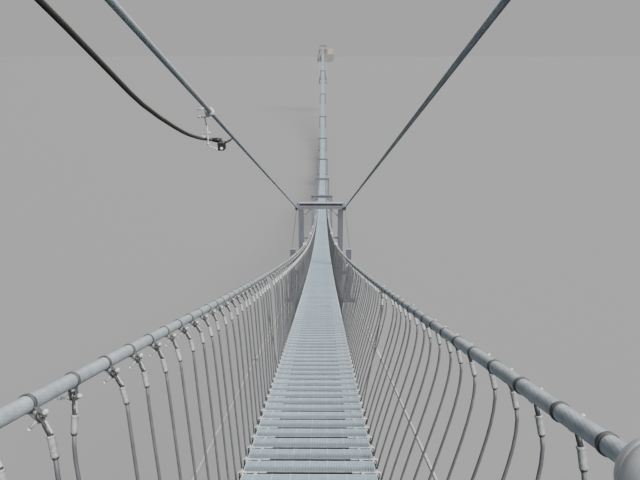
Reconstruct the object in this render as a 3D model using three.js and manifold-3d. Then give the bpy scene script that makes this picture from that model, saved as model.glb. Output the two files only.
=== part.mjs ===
// Rope suspension footbridge, a scale model at 1:10, in millimetres.
// The bridge runs along +Y from the near abutment, +X is to the walker's right and +Z is up.
// The origin is the middle of the near abutment's flat base. Driving sizes are real metres times M.
import * as THREE from "three";
import { mergeVertices } from "three/addons/utils/BufferGeometryUtils.js";
import Module from "manifold-3d";

const wasm = await Module();
wasm.setup();

const M = 100; // one real metre, in millimetres of the model
const GAP = 0.3; // clearance between pieces that touch

// The span, a shallow parabola cut into equal bays
const SPAN = 248 * M;
const SAG = 20.55 * M;
const BAYS = 9;
const BAY = SPAN / BAYS;
const STEPS = 6; // straight lengths that stand for one bay's curve

// Deck and ropes
const DECK_WIDTH = 0.91 * M;
const DECK_DEPTH = 0.036 * M;
const RAIL_HEIGHT = 1.2 * M;
const RAIL_RADIUS = 0.023 * M;
const RAIL_HALF = 0.498 * M; // handrail ropes' distance from the middle, a little outside the carrying ropes
const RAIL_HALF_END = 0.773 * M;
const SPLAY = 27 * M; // length over which the handrails spread towards each end
const CARRIER_RADIUS = 0.015 * M;
const CARRIER_X = DECK_WIDTH / 2 + CARRIER_RADIUS + GAP;
const CARRIER_DROP = DECK_DEPTH / 2;
const HANGERS = 8; // hangers shown in one bay
const HANGER_SIDE = 0.014 * M;
const HANGER_BOW = 0.05 * M; // slack hangers bow to the right
const BALL_RADIUS = 0.08 * M;
const BALL_STATION = 4.19 * M;

// Steel frames
const FRAME_HEIGHT = 2.6 * M; // deck to the middle of the crossbeam
const FRAME_WIDTH = 1.88 * M;
const END_FRAME_HEIGHT = 3.05 * M;
const END_FRAME_WIDTH = 2.56 * M;
const END_FRAME_BACK = 0.15 * M; // end frames stand this far behind the abutment's edge
const LEG_WIDTH = 0.22 * M;
const LEG_DEPTH = 0.2 * M;
const BEAM_DEPTH = 0.25 * M;
const SILL_DEPTH = 0.2 * M;
const FLANGE = 0.02 * M;
const WEB = 0.02 * M;
const BEAM_WIDTH = LEG_DEPTH + 0.02 * M; // across the flanges, along the bridge
const PLATE = 0.01 * M;
const LUG = 0.12 * M;
const BRACKET = 0.06 * M;

// Outboard frames and stays at the first and last portals
const STAY_RADIUS = 0.024 * M;
const LOWER_STAY_RADIUS = 0.02 * M;
const POST_X = 1.19 * M;
const POST_TOP = 0.7 * M;
const TRANSOM_DROP = 1.64 * M;
const TRANSOM_HALF = 1.54 * M;
const TRANSOM_SIDE = 0.16 * M;
const OUTER_STAY_X = 1.5 * M;
const INNER_STAY_X = 1.05 * M;
const ABUTMENT_STAY = { x: 1.27 * M, drop: 1.19 * M };
const FORK_STATION = 15.2 * M;
const STAY_TOP_X = 1.175 * M;

// Abutments
const BLOCK = { half: 2.2 * M, length: 6 * M, height: 3 * M };
const WALL = { inner: 0.55 * M, outer: 1.6 * M, height: 1.75 * M, front: 0.6 * M, length: 4.8 * M };
const PARAPET = { from: 1.9 * M, to: 4 * M, height: 2.3 * M, depth: 1.6 * M, margin: 0.2 * M };
const START_Y = BLOCK.length / 2;
const START_Z = BLOCK.height;

// Cable junction that is clamped to the left near stay, and the cable that hangs from the end frame to it
const JUNCTION = { station: 9.8 * M, width: 0.05 * M, drop: 0.334 * M, rod: 0.052 * M, box: 0.083 * M, back: 0.11 * M };
const CABLE_RADIUS = 0.019 * M;
const CABLE_STEPS = 48;
// Where the cable hangs: left of the middle, along the bridge, and above the landings' level
const CABLE_ROUTE = [
  [-1.25, -0.037, 2.98],
  [-1.24, 2.1, 2.31],
  [-1.23, 4.4, 1.49],
  [-1.22, 6.255, 0.796],
  [-1.216, 6.98, 0.5],
  [-1.213, 7.715, 0.205],
  [-1.208, 8.91, -0.143],
  [-1.204, 9.35, -0.242],
  [-1.2, 9.73, -0.315],
  [-1.188, 9.79, -0.327],
  [-1.156, 9.836, -0.338],
  [-1.112, 9.868, -0.347],
  [-1.065, 9.88, -0.353],
];

const galvanised = new THREE.MeshStandardMaterial({ color: 0xaab4ba, roughness: 0.5, metalness: 0.6 });
const rope = new THREE.MeshStandardMaterial({ color: 0x8f979a, roughness: 0.55, metalness: 0.6 });
const wire = new THREE.MeshStandardMaterial({ color: 0x7c8385, roughness: 0.55, metalness: 0.6 });
const steel = new THREE.MeshStandardMaterial({ color: 0x75757f, roughness: 0.6, metalness: 0.4 });
const concrete = new THREE.MeshStandardMaterial({ color: 0xa9a69e, roughness: 0.9, metalness: 0 });
const render = new THREE.MeshStandardMaterial({ color: 0xd9d2c0, roughness: 0.9, metalness: 0 });
const rubber = new THREE.MeshStandardMaterial({ color: 0x2c2f2c, roughness: 0.7, metalness: 0 });

// The deck's level at a distance along the bridge, and its slope
function deckLevel(station) {
  const t = station / SPAN;
  return START_Z - 4 * SAG * t * (1 - t);
}

function deckSlope(station) {
  return (-4 * SAG * (1 - (2 * station) / SPAN)) / SPAN;
}

// How far the handrail ropes are from the middle, wider near both ends
function railHalf(station) {
  const fromEnd = Math.min(station, SPAN - station);
  const spread = Math.max(0, 1 - fromEnd / SPLAY);
  return RAIL_HALF + (RAIL_HALF_END - RAIL_HALF) * spread * spread;
}

// The level of the straight lengths that stand for a curve
function onChords(level, station) {
  const step = BAY / STEPS;
  const whole = Math.min(Math.max(Math.floor(station / step), 0), BAYS * STEPS - 1);
  const along = station / step - whole;
  return level(whole * step) * (1 - along) + level((whole + 1) * step) * along;
}

// Where one bay's deck or carrying rope starts and ends, clear of the next bay or of the abutment
function bayEnds(number, depth) {
  const clear = GAP + depth * Math.abs(deckSlope(0));
  return [
    (number - 1) * BAY + (number === 1 ? clear : GAP / 2),
    number * BAY - (number === BAYS ? clear : GAP / 2),
  ];
}

function point(x, station, z) {
  return new THREE.Vector3(x, START_Y + station, z);
}

function onDeck(station) {
  return point(0, station, deckLevel(station));
}

// A line along the bridge whose points are spaced evenly by station
class StationLine extends THREE.Curve {
  constructor(place, from, to) {
    super();
    this.place = place;
    this.from = from;
    this.to = to;
  }

  getPoint(t) {
    return this.place(this.from + (this.to - this.from) * t);
  }

  getPointAt(u) {
    return this.getPoint(u);
  }

  getTangentAt(u) {
    return this.getTangent(u);
  }
}

// A curve through points, with as many steps between close points as between distant ones
class PointLine extends THREE.CatmullRomCurve3 {
  getPointAt(u) {
    return this.getPoint(u);
  }

  getTangentAt(u) {
    return this.getTangent(u);
  }
}

// Sections
function roundSection(radius, sides) {
  const corner = radius / Math.cos(Math.PI / sides);
  const section = new THREE.Shape();
  for (let i = 0; i < sides; i++) {
    const angle = ((i + 0.5) * 2 * Math.PI) / sides;
    if (i) section.lineTo(corner * Math.cos(angle), corner * Math.sin(angle));
    else section.moveTo(corner * Math.cos(angle), corner * Math.sin(angle));
  }
  section.closePath();
  return section;
}

function flatSection(left, right, bottom, top) {
  return new THREE.Shape([
    new THREE.Vector2(left, bottom),
    new THREE.Vector2(right, bottom),
    new THREE.Vector2(right, top),
    new THREE.Vector2(left, top),
  ]);
}

// An H whose flanges lie along the first axis, above and below the web
function beamSection(width, depth) {
  const flange = depth / 2 - FLANGE;
  const outline = [
    [-width / 2, -depth / 2],
    [width / 2, -depth / 2],
    [width / 2, -flange],
    [WEB / 2, -flange],
    [WEB / 2, flange],
    [width / 2, flange],
    [width / 2, depth / 2],
    [-width / 2, depth / 2],
    [-width / 2, flange],
    [-WEB / 2, flange],
    [-WEB / 2, -flange],
    [-width / 2, -flange],
  ];
  return new THREE.Shape(outline.map(([x, y]) => new THREE.Vector2(x, y)));
}

// Shapes
function sweep(section, path, steps) {
  return new THREE.ExtrudeGeometry(section, { extrudePath: path, steps, curveSegments: 1 });
}

function box(x0, x1, y0, y1, z0, z1) {
  const shape = new THREE.BoxGeometry(x1 - x0, y1 - y0, z1 - z0);
  return shape.translate((x0 + x1) / 2, (y0 + y1) / 2, (z0 + z1) / 2);
}

function crossBeam(half, z, depth) {
  const turn = new THREE.Matrix4().makeBasis(
    new THREE.Vector3(0, 1, 0),
    new THREE.Vector3(0, 0, 1),
    new THREE.Vector3(1, 0, 0),
  );
  const shape = new THREE.ExtrudeGeometry(beamSection(BEAM_WIDTH, depth), { depth: 2 * half, bevelEnabled: false });
  return shape.applyMatrix4(turn).translate(-half, 0, z);
}

function uprightBeam(x, bottom, top) {
  const options = { depth: top - bottom, bevelEnabled: false };
  return new THREE.ExtrudeGeometry(beamSection(LEG_WIDTH, LEG_DEPTH), options).translate(x, 0, bottom);
}

// A straight round rope that stops clear of the upright faces that it meets
function straightRope(from, to, radius) {
  const along = to.clone().sub(from).normalize();
  const lean = Math.hypot(along.x, along.z);
  const clear = along.clone().multiplyScalar((GAP + radius * lean) / Math.abs(along.y));
  const path = new THREE.LineCurve3(from.clone().add(clear), to.clone().sub(clear));
  return sweep(roundSection(radius, 8), path, 1);
}

// Joins shapes that cross each other into one closed body
function solid(shape) {
  const plain = (shape.index ? shape.toNonIndexed() : shape.clone()).deleteAttribute("normal").deleteAttribute("uv");
  const merged = mergeVertices(plain, 1e-3);
  const triVerts = new Uint32Array(merged.index.array);
  return new wasm.Manifold(
    new wasm.Mesh({ numProp: 3, vertProperties: merged.attributes.position.array, triVerts }),
  );
}

function joined(shapes) {
  const { vertProperties, triVerts } = shapes
    .map(solid)
    .reduce((whole, next) => whole.add(next))
    .getMesh();
  const shape = new THREE.BufferGeometry();
  shape.setAttribute("position", new THREE.BufferAttribute(vertProperties, 3));
  shape.setIndex(new THREE.BufferAttribute(triVerts, 1));
  return shape;
}

const bridge = new THREE.Group();

function piece(name, shape, material) {
  const mesh = new THREE.Mesh(shape, material);
  mesh.name = name;
  bridge.add(mesh);
  return mesh;
}

// Handrail ropes, end to end, with a ball fitting near each end
function handrail(side) {
  const level = (station) => deckLevel(station) + RAIL_HEIGHT;
  const place = (station) => point(side * railHalf(station), station, level(station));
  const back = WALL.front - GAP - RAIL_RADIUS * Math.abs(deckSlope(0));
  const path = new StationLine(place, 0, SPAN);
  const shapes = [sweep(roundSection(RAIL_RADIUS, 8), path, BAYS * STEPS)];
  for (const [station, way] of [
    [0, -1],
    [SPAN, 1],
  ]) {
    const start = place(station);
    const end = start.clone();
    end.y += way * back;
    end.z += way * back * deckSlope(station);
    start.y -= way * RAIL_RADIUS;
    start.z -= way * RAIL_RADIUS * deckSlope(station);
    shapes.push(sweep(roundSection(RAIL_RADIUS * 0.99, 8), new THREE.LineCurve3(start, end), 1));
  }
  for (const station of [BALL_STATION, SPAN - BALL_STATION]) {
    const centre = point(side * railHalf(station), station, onChords(level, station));
    shapes.push(new THREE.SphereGeometry(BALL_RADIUS, 12, 8).translate(centre.x, centre.y, centre.z));
  }
  return joined(shapes);
}

// One bay of the deck
function deckBay(number) {
  const section = flatSection(-DECK_WIDTH / 2, DECK_WIDTH / 2, -DECK_DEPTH, 0);
  return sweep(section, new StationLine(onDeck, ...bayEnds(number, DECK_DEPTH)), STEPS);
}

// One side of a bay: the carrying rope and the hangers that hold it
function hangerBay(side, number) {
  const level = (station) => deckLevel(station) - CARRIER_DROP;
  const place = (station) => point(side * CARRIER_X, station, level(station));
  const line = new StationLine(place, ...bayEnds(number, CARRIER_RADIUS));
  const shapes = [sweep(roundSection(CARRIER_RADIUS, 6), line, STEPS)];
  for (let i = 0; i < HANGERS; i++) {
    const station = (number - 1 + (i + 0.5) / HANGERS) * BAY;
    const slope = Math.abs(deckSlope(station));
    const rail = onChords(deckLevel, station) + RAIL_HEIGHT;
    const under = RAIL_RADIUS * Math.hypot(1, slope) + (HANGER_SIDE / 2) * slope + GAP;
    const top = point(side * railHalf(station), station, rail - under);
    const foot = point(side * CARRIER_X, station, level(station));
    const bend = top.clone().add(foot).multiplyScalar(0.5);
    bend.x += HANGER_BOW;
    const path = new THREE.QuadraticBezierCurve3(foot, bend, top);
    const half = HANGER_SIDE / 2;
    shapes.push(sweep(flatSection(-half, half, -half, half), path, 2));
  }
  return joined(shapes);
}

// The underside of the carrying ropes below the deck, at the uphill edge of a level sill
function underRopes(station) {
  const slope = Math.abs(deckSlope(station));
  return -CARRIER_DROP - CARRIER_RADIUS * Math.hypot(1, slope) - (slope * BEAM_WIDTH) / 2 - GAP;
}

// A portal frame in the span, about the deck's middle: legs on a sill, a crossbeam, and brackets
// that steady the handrail ropes
function portal(number, lugs) {
  const sillTop = underRopes(number * BAY);
  const beamBottom = FRAME_HEIGHT - BEAM_DEPTH / 2;
  const half = FRAME_WIDTH / 2;
  const legX = half - LEG_WIDTH / 2 - PLATE;
  const shapes = [
    crossBeam(half, FRAME_HEIGHT, BEAM_DEPTH),
    crossBeam(half, sillTop - SILL_DEPTH / 2, SILL_DEPTH),
  ];
  for (const side of [-1, 1]) {
    shapes.push(uprightBeam(side * legX, sillTop - FLANGE / 2, beamBottom + FLANGE / 2));
    const bracket = [side * (RAIL_HALF + RAIL_RADIUS + GAP), side * legX].sort((a, b) => a - b);
    const rail = RAIL_HEIGHT - BRACKET / 2;
    shapes.push(box(...bracket, -BRACKET / 2, BRACKET / 2, rail, rail + BRACKET));
    if (lugs) {
      const lug = [side * (half - LUG / 2), side * (half + LUG)].sort((a, b) => a - b);
      const face = LEG_DEPTH / 2 - PLATE;
      shapes.push(box(...lug, -face, face, beamBottom - LUG / 2, beamBottom + LUG));
    }
  }
  return joined(shapes);
}

// The frame that stands on an abutment, where the overhead stays begin
function endFrame() {
  const half = END_FRAME_WIDTH / 2;
  const shapes = [crossBeam(half, END_FRAME_HEIGHT, BEAM_DEPTH)];
  for (const side of [-1, 1]) {
    const top = END_FRAME_HEIGHT - BEAM_DEPTH / 2 + FLANGE / 2;
    shapes.push(uprightBeam(side * (half - LEG_WIDTH / 2 - PLATE), GAP, top));
  }
  return joined(shapes);
}

// Outboard posts and transoms under the first or last portal, which the lower stays pull on
function stayFrame(station) {
  const top = underRopes(station) - SILL_DEPTH - GAP;
  const half = TRANSOM_SIDE / 2;
  const shapes = [
    box(-POST_X, POST_X, -half, half, top - TRANSOM_SIDE, top),
    box(-TRANSOM_HALF, TRANSOM_HALF, -half, half, -TRANSOM_DROP - half, -TRANSOM_DROP + half),
  ];
  for (const side of [-1, 1]) shapes.push(uprightBeam(side * POST_X, -TRANSOM_DROP, POST_TOP));
  return joined(shapes);
}

// The two lower stays on one side, which fork at a clamp
function lowerStays(side, nearEnd) {
  const at = (station) => (nearEnd ? station : SPAN - station);
  const frame = BAY - TRANSOM_SIDE / 2;
  const drop = deckLevel(at(BAY)) - TRANSOM_DROP;
  const foot = point(side * ABUTMENT_STAY.x, at(0), START_Z - ABUTMENT_STAY.drop);
  const outer = point(side * OUTER_STAY_X, at(frame), drop);
  const inner = point(side * INNER_STAY_X, at(frame), drop);
  const fork = foot.clone().lerp(outer, FORK_STATION / frame);
  const along = outer.clone().sub(foot).normalize();
  const reach = LOWER_STAY_RADIUS * 3;
  const clamp = new THREE.LineCurve3(
    fork.clone().addScaledVector(along, -reach),
    fork.clone().addScaledVector(along, reach),
  );
  return joined([
    straightRope(foot, outer, LOWER_STAY_RADIUS),
    sweep(roundSection(LOWER_STAY_RADIUS * 2, 6), clamp, 1),
    straightRope(fork, inner, LOWER_STAY_RADIUS),
  ]);
}

// An overhead stay from an end frame to the nearest portal's lug
function overheadStayEnds(side, nearEnd) {
  const at = (station) => (nearEnd ? station : SPAN - station);
  const face = LEG_DEPTH / 2 - PLATE;
  const lug = deckLevel(at(BAY)) + FRAME_HEIGHT - BEAM_DEPTH / 2 + LUG / 2;
  return [
    point(side * STAY_TOP_X, at(BEAM_WIDTH / 2 - END_FRAME_BACK), START_Z + END_FRAME_HEIGHT),
    point(side * (FRAME_WIDTH / 2 + LUG / 2), at(BAY - face), lug),
  ];
}

// An abutment: a landing block with two walls that anchor the handrail ropes
function abutment(middle, way, extra) {
  const back = (WALL.front + WALL.length) * way;
  const front = WALL.front * way;
  const edge = middle + (way * BLOCK.length) / 2;
  const y0 = middle - BLOCK.length / 2;
  const shapes = [box(-BLOCK.half, BLOCK.half + extra, y0, y0 + BLOCK.length, 0, BLOCK.height)];
  for (const side of [-1, 1]) {
    const xs = [side * WALL.inner, side * WALL.outer].sort((a, b) => a - b);
    const ys = [edge - back, edge - front].sort((a, b) => a - b);
    shapes.push(box(...xs, ...ys, BLOCK.height - 1, BLOCK.height + WALL.height));
  }
  return joined(shapes);
}

// The cable junction: a clamp block under the stay, a drop rod, an arm and a box
function junction(stay) {
  const place = stayPoint(stay, JUNCTION.station);
  const half = JUNCTION.width / 2;
  const slope = Math.abs((stay[1].z - stay[0].z) / (stay[1].y - stay[0].y));
  const top = place.z - STAY_RADIUS * Math.hypot(1, slope) - half * slope - GAP;
  const bottom = top - JUNCTION.drop;
  const rod = place.x - JUNCTION.rod;
  const face = place.x + JUNCTION.rod;
  const back = place.y - half;
  const front = back - half * 0.8;
  return joined([
    box(rod - half, place.x + half, front - half * 0.2, place.y + half, top - half, top),
    box(rod - half * 0.3, rod + half * 0.3, front, back, bottom, top - half / 2),
    box(rod - half * 0.2, face + half, front + half * 0.1, back - half * 0.1, bottom - half / 2, bottom + half / 2),
    box(face, face + JUNCTION.box, front - half * 0.2, place.y + JUNCTION.back, bottom - half, bottom + half * 2.3),
  ]);
}

function stayPoint([from, to], station) {
  const part = (START_Y + station - from.y) / (to.y - from.y);
  return from.clone().lerp(to, part);
}

// The hanging cable, from the end frame's beam to the junction's box
function hangingCable() {
  const route = CABLE_ROUTE.map(([x, station, level]) => point(x * M, station * M, START_Z + level * M));
  return sweep(roundSection(CABLE_RADIUS, 8), new PointLine(route), CABLE_STEPS);
}

piece("near_abutment", abutment(0, 1, 0), concrete);
piece("far_abutment", abutment(SPAN + BLOCK.length, -1, PARAPET.to + PARAPET.margin - BLOCK.half), concrete);
const parapetY = START_Y + SPAN + PARAPET.margin;
const parapetZ = BLOCK.height + GAP;
piece(
  "far_parapet_wall",
  box(PARAPET.from, PARAPET.to, parapetY, parapetY + PARAPET.depth, parapetZ, parapetZ + PARAPET.height),
  render,
);
piece("near_end_frame", endFrame(), steel).position.copy(point(0, -END_FRAME_BACK, START_Z));
piece("far_end_frame", endFrame(), steel).position.copy(point(0, SPAN + END_FRAME_BACK, START_Z));
for (let i = 1; i < BAYS; i++) {
  const frame = piece(`portal_frame_${i}`, portal(i, i === 1 || i === BAYS - 1), steel);
  frame.position.copy(onDeck(i * BAY));
}
piece("near_stay_frame", stayFrame(BAY), steel).position.copy(onDeck(BAY));
piece("far_stay_frame", stayFrame(SPAN - BAY), steel).position.copy(onDeck(SPAN - BAY));
for (let i = 1; i <= BAYS; i++) piece(`deck_bay_${i}`, deckBay(i), galvanised);

for (const [name, side] of [
  ["left", -1],
  ["right", 1],
]) {
  piece(`handrail_rope_${name}`, handrail(side), rope);
  for (let i = 1; i <= BAYS; i++) piece(`hangers_${name}_bay_${i}`, hangerBay(side, i), wire);
  for (const nearEnd of [true, false]) {
    const end = nearEnd ? "near" : "far";
    piece(`overhead_stay_${end}_${name}`, straightRope(...overheadStayEnds(side, nearEnd), STAY_RADIUS), rope);
    piece(`lower_stays_${end}_${name}`, lowerStays(side, nearEnd), rope);
  }
}

const junctionStay = overheadStayEnds(-1, true);
piece("cable_junction", junction(junctionStay), rubber);
piece("hanging_cable", hangingCable(), rubber);

export default bridge;
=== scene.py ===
"""Finished surfaces for the rope suspension footbridge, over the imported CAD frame.

Every piece is drawn at the real bridge's size, in metres, from the edge of the near landing: x is to the
walker's right, y is along the bridge and z is above the landing. Placement sets it at a tenth of that size
in the frame, where the CAD nodes are.
"""
import logging
import math
from dataclasses import dataclass
from enum import Enum
from itertools import product
from typing import Callable, ClassVar, Iterable, Mapping, Sequence

import bmesh
import bpy
import numpy as np
from mathutils import Matrix, Vector


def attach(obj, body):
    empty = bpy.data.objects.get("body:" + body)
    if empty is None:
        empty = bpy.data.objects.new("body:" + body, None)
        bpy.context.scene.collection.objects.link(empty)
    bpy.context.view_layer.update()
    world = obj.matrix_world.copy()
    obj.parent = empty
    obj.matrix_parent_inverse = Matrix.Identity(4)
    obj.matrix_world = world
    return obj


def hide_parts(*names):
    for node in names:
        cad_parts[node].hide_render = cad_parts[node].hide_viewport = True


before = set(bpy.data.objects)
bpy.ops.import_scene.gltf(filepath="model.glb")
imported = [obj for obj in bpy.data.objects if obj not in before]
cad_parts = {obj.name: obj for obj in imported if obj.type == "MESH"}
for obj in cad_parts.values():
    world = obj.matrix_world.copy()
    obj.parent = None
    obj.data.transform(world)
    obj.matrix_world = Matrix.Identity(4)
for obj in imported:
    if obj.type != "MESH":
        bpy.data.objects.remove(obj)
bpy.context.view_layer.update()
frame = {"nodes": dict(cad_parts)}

logging.basicConfig(level=logging.INFO, format="%(message)s")
log = logging.getLogger("footbridge")

Point = Sequence[float]
Colour = tuple[float, float, float]
Profile = Sequence[tuple[float, float]]
Array = np.ndarray
Stations = float | Array
Socket = bpy.types.NodeSocket
Tree = bpy.types.NodeTree
Value = float | Sequence[float] | Socket
Inputs = Mapping[str | int, Value]

ORIGIN = (0.0, 0.0, 0.0)
X_AXIS = (1.0, 0.0, 0.0)
Y_AXIS = (0.0, 1.0, 0.0)
Z_AXIS = (0.0, 0.0, 1.0)


class Side(Enum):
    """The walker's left and right."""

    LEFT = -1
    RIGHT = 1

    @property
    def label(self) -> str:
        """The side's name in a piece's name."""
        return self.name.lower()

    def faced(self, frames: Array) -> Array:
        """Frames for a right-hand fitting, turned half round for the left-hand side."""
        if self is Side.LEFT:
            frames[:, :, :2] *= -1
        return frames


class End(Enum):
    """The bridge's two ends."""

    NEAR = "near"
    FAR = "far"

    def along(self, station: float) -> float:
        """The station at a distance from this end."""
        return station if self is End.NEAR else BRIDGE.span - station

    @property
    def way(self) -> int:
        """1 where stations grow away from this end, -1 where they grow towards it."""
        return 1 if self is End.NEAR else -1


def unit(vectors: Point | Array) -> Array:
    """Vectors at length one."""
    vectors = np.asarray(vectors, float)
    return vectors / np.linalg.norm(vectors, axis=-1, keepdims=True)


@dataclass(frozen=True)
class Bridge:
    """The bridge's driving sizes, in real metres, which are the CAD source's."""

    span: float = 248.0
    sag: float = 20.55
    bays: int = 9
    deck_half: float = 0.455
    deck_depth: float = 0.036
    rail_height: float = 1.2
    rail_radius: float = 0.023
    rail_half: float = 0.498
    rail_half_end: float = 0.773
    splay: float = 27.0
    wall_front: float = 0.6
    carrier_radius: float = 0.013
    carrier_x: float = 0.4545
    carrier_drop: float = 0.018
    foot_x: float = 0.4585
    tread_pitch: float = 0.2447
    first_gap: float = 7.187
    near_detail: float = 18.0
    near_fittings: float = 14.0

    @property
    def bay(self) -> float:
        """The length of one bay."""
        return self.span / self.bays

    def deck(self, station: Stations) -> Stations:
        """The deck's level above the landings at stations."""
        part = np.asarray(station, float) / self.span
        return -4 * self.sag * part * (1 - part)

    def slope(self, station: Stations) -> Stations:
        """The deck's rise for each metre along the bridge at stations."""
        return -4 * self.sag / self.span * (1 - 2 * np.asarray(station, float) / self.span)

    def half(self, station: Stations) -> Stations:
        """The handrail ropes' distance from the middle, which grows where they splay to the anchor walls.

        Args:
            station: where along the bridge.

        Returns:
            The distance at each station.
        """
        station = np.asarray(station, float)
        spread = np.clip(1 - np.minimum(station, self.span - station) / self.splay, 0, 1)
        return self.rail_half + (self.rail_half_end - self.rail_half) * spread**2

    def gaps(self) -> Array:
        """The stations of the gaps between treads, evenly spaced along the deck's curve.

        Returns:
            The stations, from the near end to the far one.
        """
        fine = np.linspace(0, self.span, 20001)
        run = np.concatenate([[0], np.cumsum(np.hypot(np.diff(fine), np.diff(self.deck(fine))))])
        start = np.interp(self.first_gap, fine, run) % self.tread_pitch
        count = int((run[-1] - start) / self.tread_pitch) + 1
        return np.interp(start + self.tread_pitch * np.arange(count), run, fine)

    def above(self, stations: Array) -> Array:
        """The stations on the handrails that are square above stations on the deck."""
        slope = self.slope(stations)
        return stations - self.rail_height * slope / (1 + slope**2)

    def deck_frames(self, stations: Array) -> Array:
        """Frames on the deck's middle: across, along the slope, and up from the deck.

        Args:
            stations: where the frames are.

        Returns:
            An array of 3 by 4 matrices.
        """
        slope = self.slope(stations)
        zero, one = np.zeros_like(slope), np.ones_like(slope)
        size = np.hypot(1, slope)
        across = np.stack([one, zero, zero], 1)
        along = np.stack([zero, one / size, slope / size], 1)
        up = np.stack([zero, -slope / size, one / size], 1)
        place = np.stack([zero, stations, self.deck(stations)], 1)
        return np.stack([across, along, up, place], 2)

    def rail_points(self, side: Side, stations: Array) -> Array:
        """Points on a handrail rope's centreline."""
        across = side.value * self.half(stations)
        return np.stack([across, stations, self.deck(stations) + self.rail_height], 1)

    def rail_frames(self, side: Side, stations: Array) -> Array:
        """Frames on a handrail rope: level and to the right, along the rope, and up from the rope.

        Args:
            side: which rope.
            stations: where the frames are.

        Returns:
            An array of 3 by 4 matrices.
        """
        step = 0.01
        along = unit(self.rail_points(side, stations + step) - self.rail_points(side, stations - step))
        across = unit(np.cross(along, Z_AXIS))
        up = np.cross(across, along)
        return np.stack([across, along, up, self.rail_points(side, stations)], 2)

    def upright_frames(self, stations: Sequence[float], turned: bool, on_deck: bool) -> Array:
        """Level frames across the bridge.

        Args:
            stations: where the frames are.
            turned: whether the last one faces back along the bridge.
            on_deck: whether they stand at the deck's level instead of the landings'.

        Returns:
            An array of 3 by 4 matrices.
        """
        frames = np.zeros((len(stations), 3, 4))
        frames[:, :, :3] = np.eye(3)
        if turned:
            frames[-1, 0, 0] = frames[-1, 1, 1] = -1
        frames[:, 1, 3] = stations
        if on_deck:
            frames[:, 2, 3] = self.deck(stations)
        return frames


BRIDGE = Bridge()


@dataclass(frozen=True)
class Placement:
    """Where the real bridge's landing edge is in the frame, and how much smaller the model is."""

    scale: float = 0.1
    origin: Point = (0.0, 0.3, 0.3)

    def place(self, points: Array) -> Array:
        """Points of the real bridge, in the frame."""
        return np.asarray(points, float) * self.scale + np.array(self.origin)


PLACEMENT = Placement()


@dataclass
class Geometry:
    """Faces as plain arrays.

    Args:
        points: the vertices, n by 3.
        corners: each face corner's vertex, in turn.
        counts: how many corners each face has.
        smooth: whether each face is shaded smooth.
        finish: each face's place in the piece's list of materials.
        run: each corner's UV: round a rope from 0 to 1, and along it in metres.
        tone: a number from 0 to 1 for each face that a material may vary by.
    """

    points: Array
    corners: Array
    counts: Array
    smooth: Array
    finish: Array
    run: Array
    tone: Array

    @staticmethod
    def merged(parts: Iterable["Geometry"]) -> "Geometry":
        """Several geometries as one.

        Args:
            parts: the geometries.

        Returns:
            One geometry with all their faces.
        """
        parts = list(parts)
        starts = np.cumsum([0] + [len(part.points) for part in parts[:-1]])
        corners = np.concatenate([part.corners + start for part, start in zip(parts, starts)])
        joined = {
            field: np.concatenate([getattr(part, field) for part in parts])
            for field in ("points", "counts", "smooth", "finish", "run", "tone")
        }
        return Geometry(corners=corners, **joined)

    def placed(self, frames: Array, tones: Array | None = None) -> "Geometry":
        """Copies of this at frames.

        Args:
            frames: an array of 3 by 4 matrices.
            tones: each copy's tone.

        Returns:
            The copies as one geometry.
        """
        count = len(frames)
        tones = np.full(count, 0.5) if tones is None else tones
        points = np.einsum("mij,nj->mni", frames[:, :, :3], self.points) + frames[:, None, :, 3]
        shift = np.arange(count)[:, None] * len(self.points)
        return Geometry(
            points.reshape(-1, 3),
            (self.corners[None] + shift).ravel(),
            np.tile(self.counts, count),
            np.tile(self.smooth, count),
            np.tile(self.finish, count),
            np.tile(self.run, (count, 1)),
            np.repeat(tones, len(self.counts)),
        )

    @property
    def triangles(self) -> int:
        """How many triangles the faces make."""
        return int((self.counts - 2).sum())


def near_and_far(
    template: Callable[[bool], Geometry], frames: Array, near: Array, tone: Array
) -> Geometry:
    """Repeats a shape, in full near the camera and plainer further away."""
    pairs = ((True, near), (False, ~near))
    return Geometry.merged(template(full).placed(frames[chosen], tone[chosen]) for full, chosen in pairs)


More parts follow.
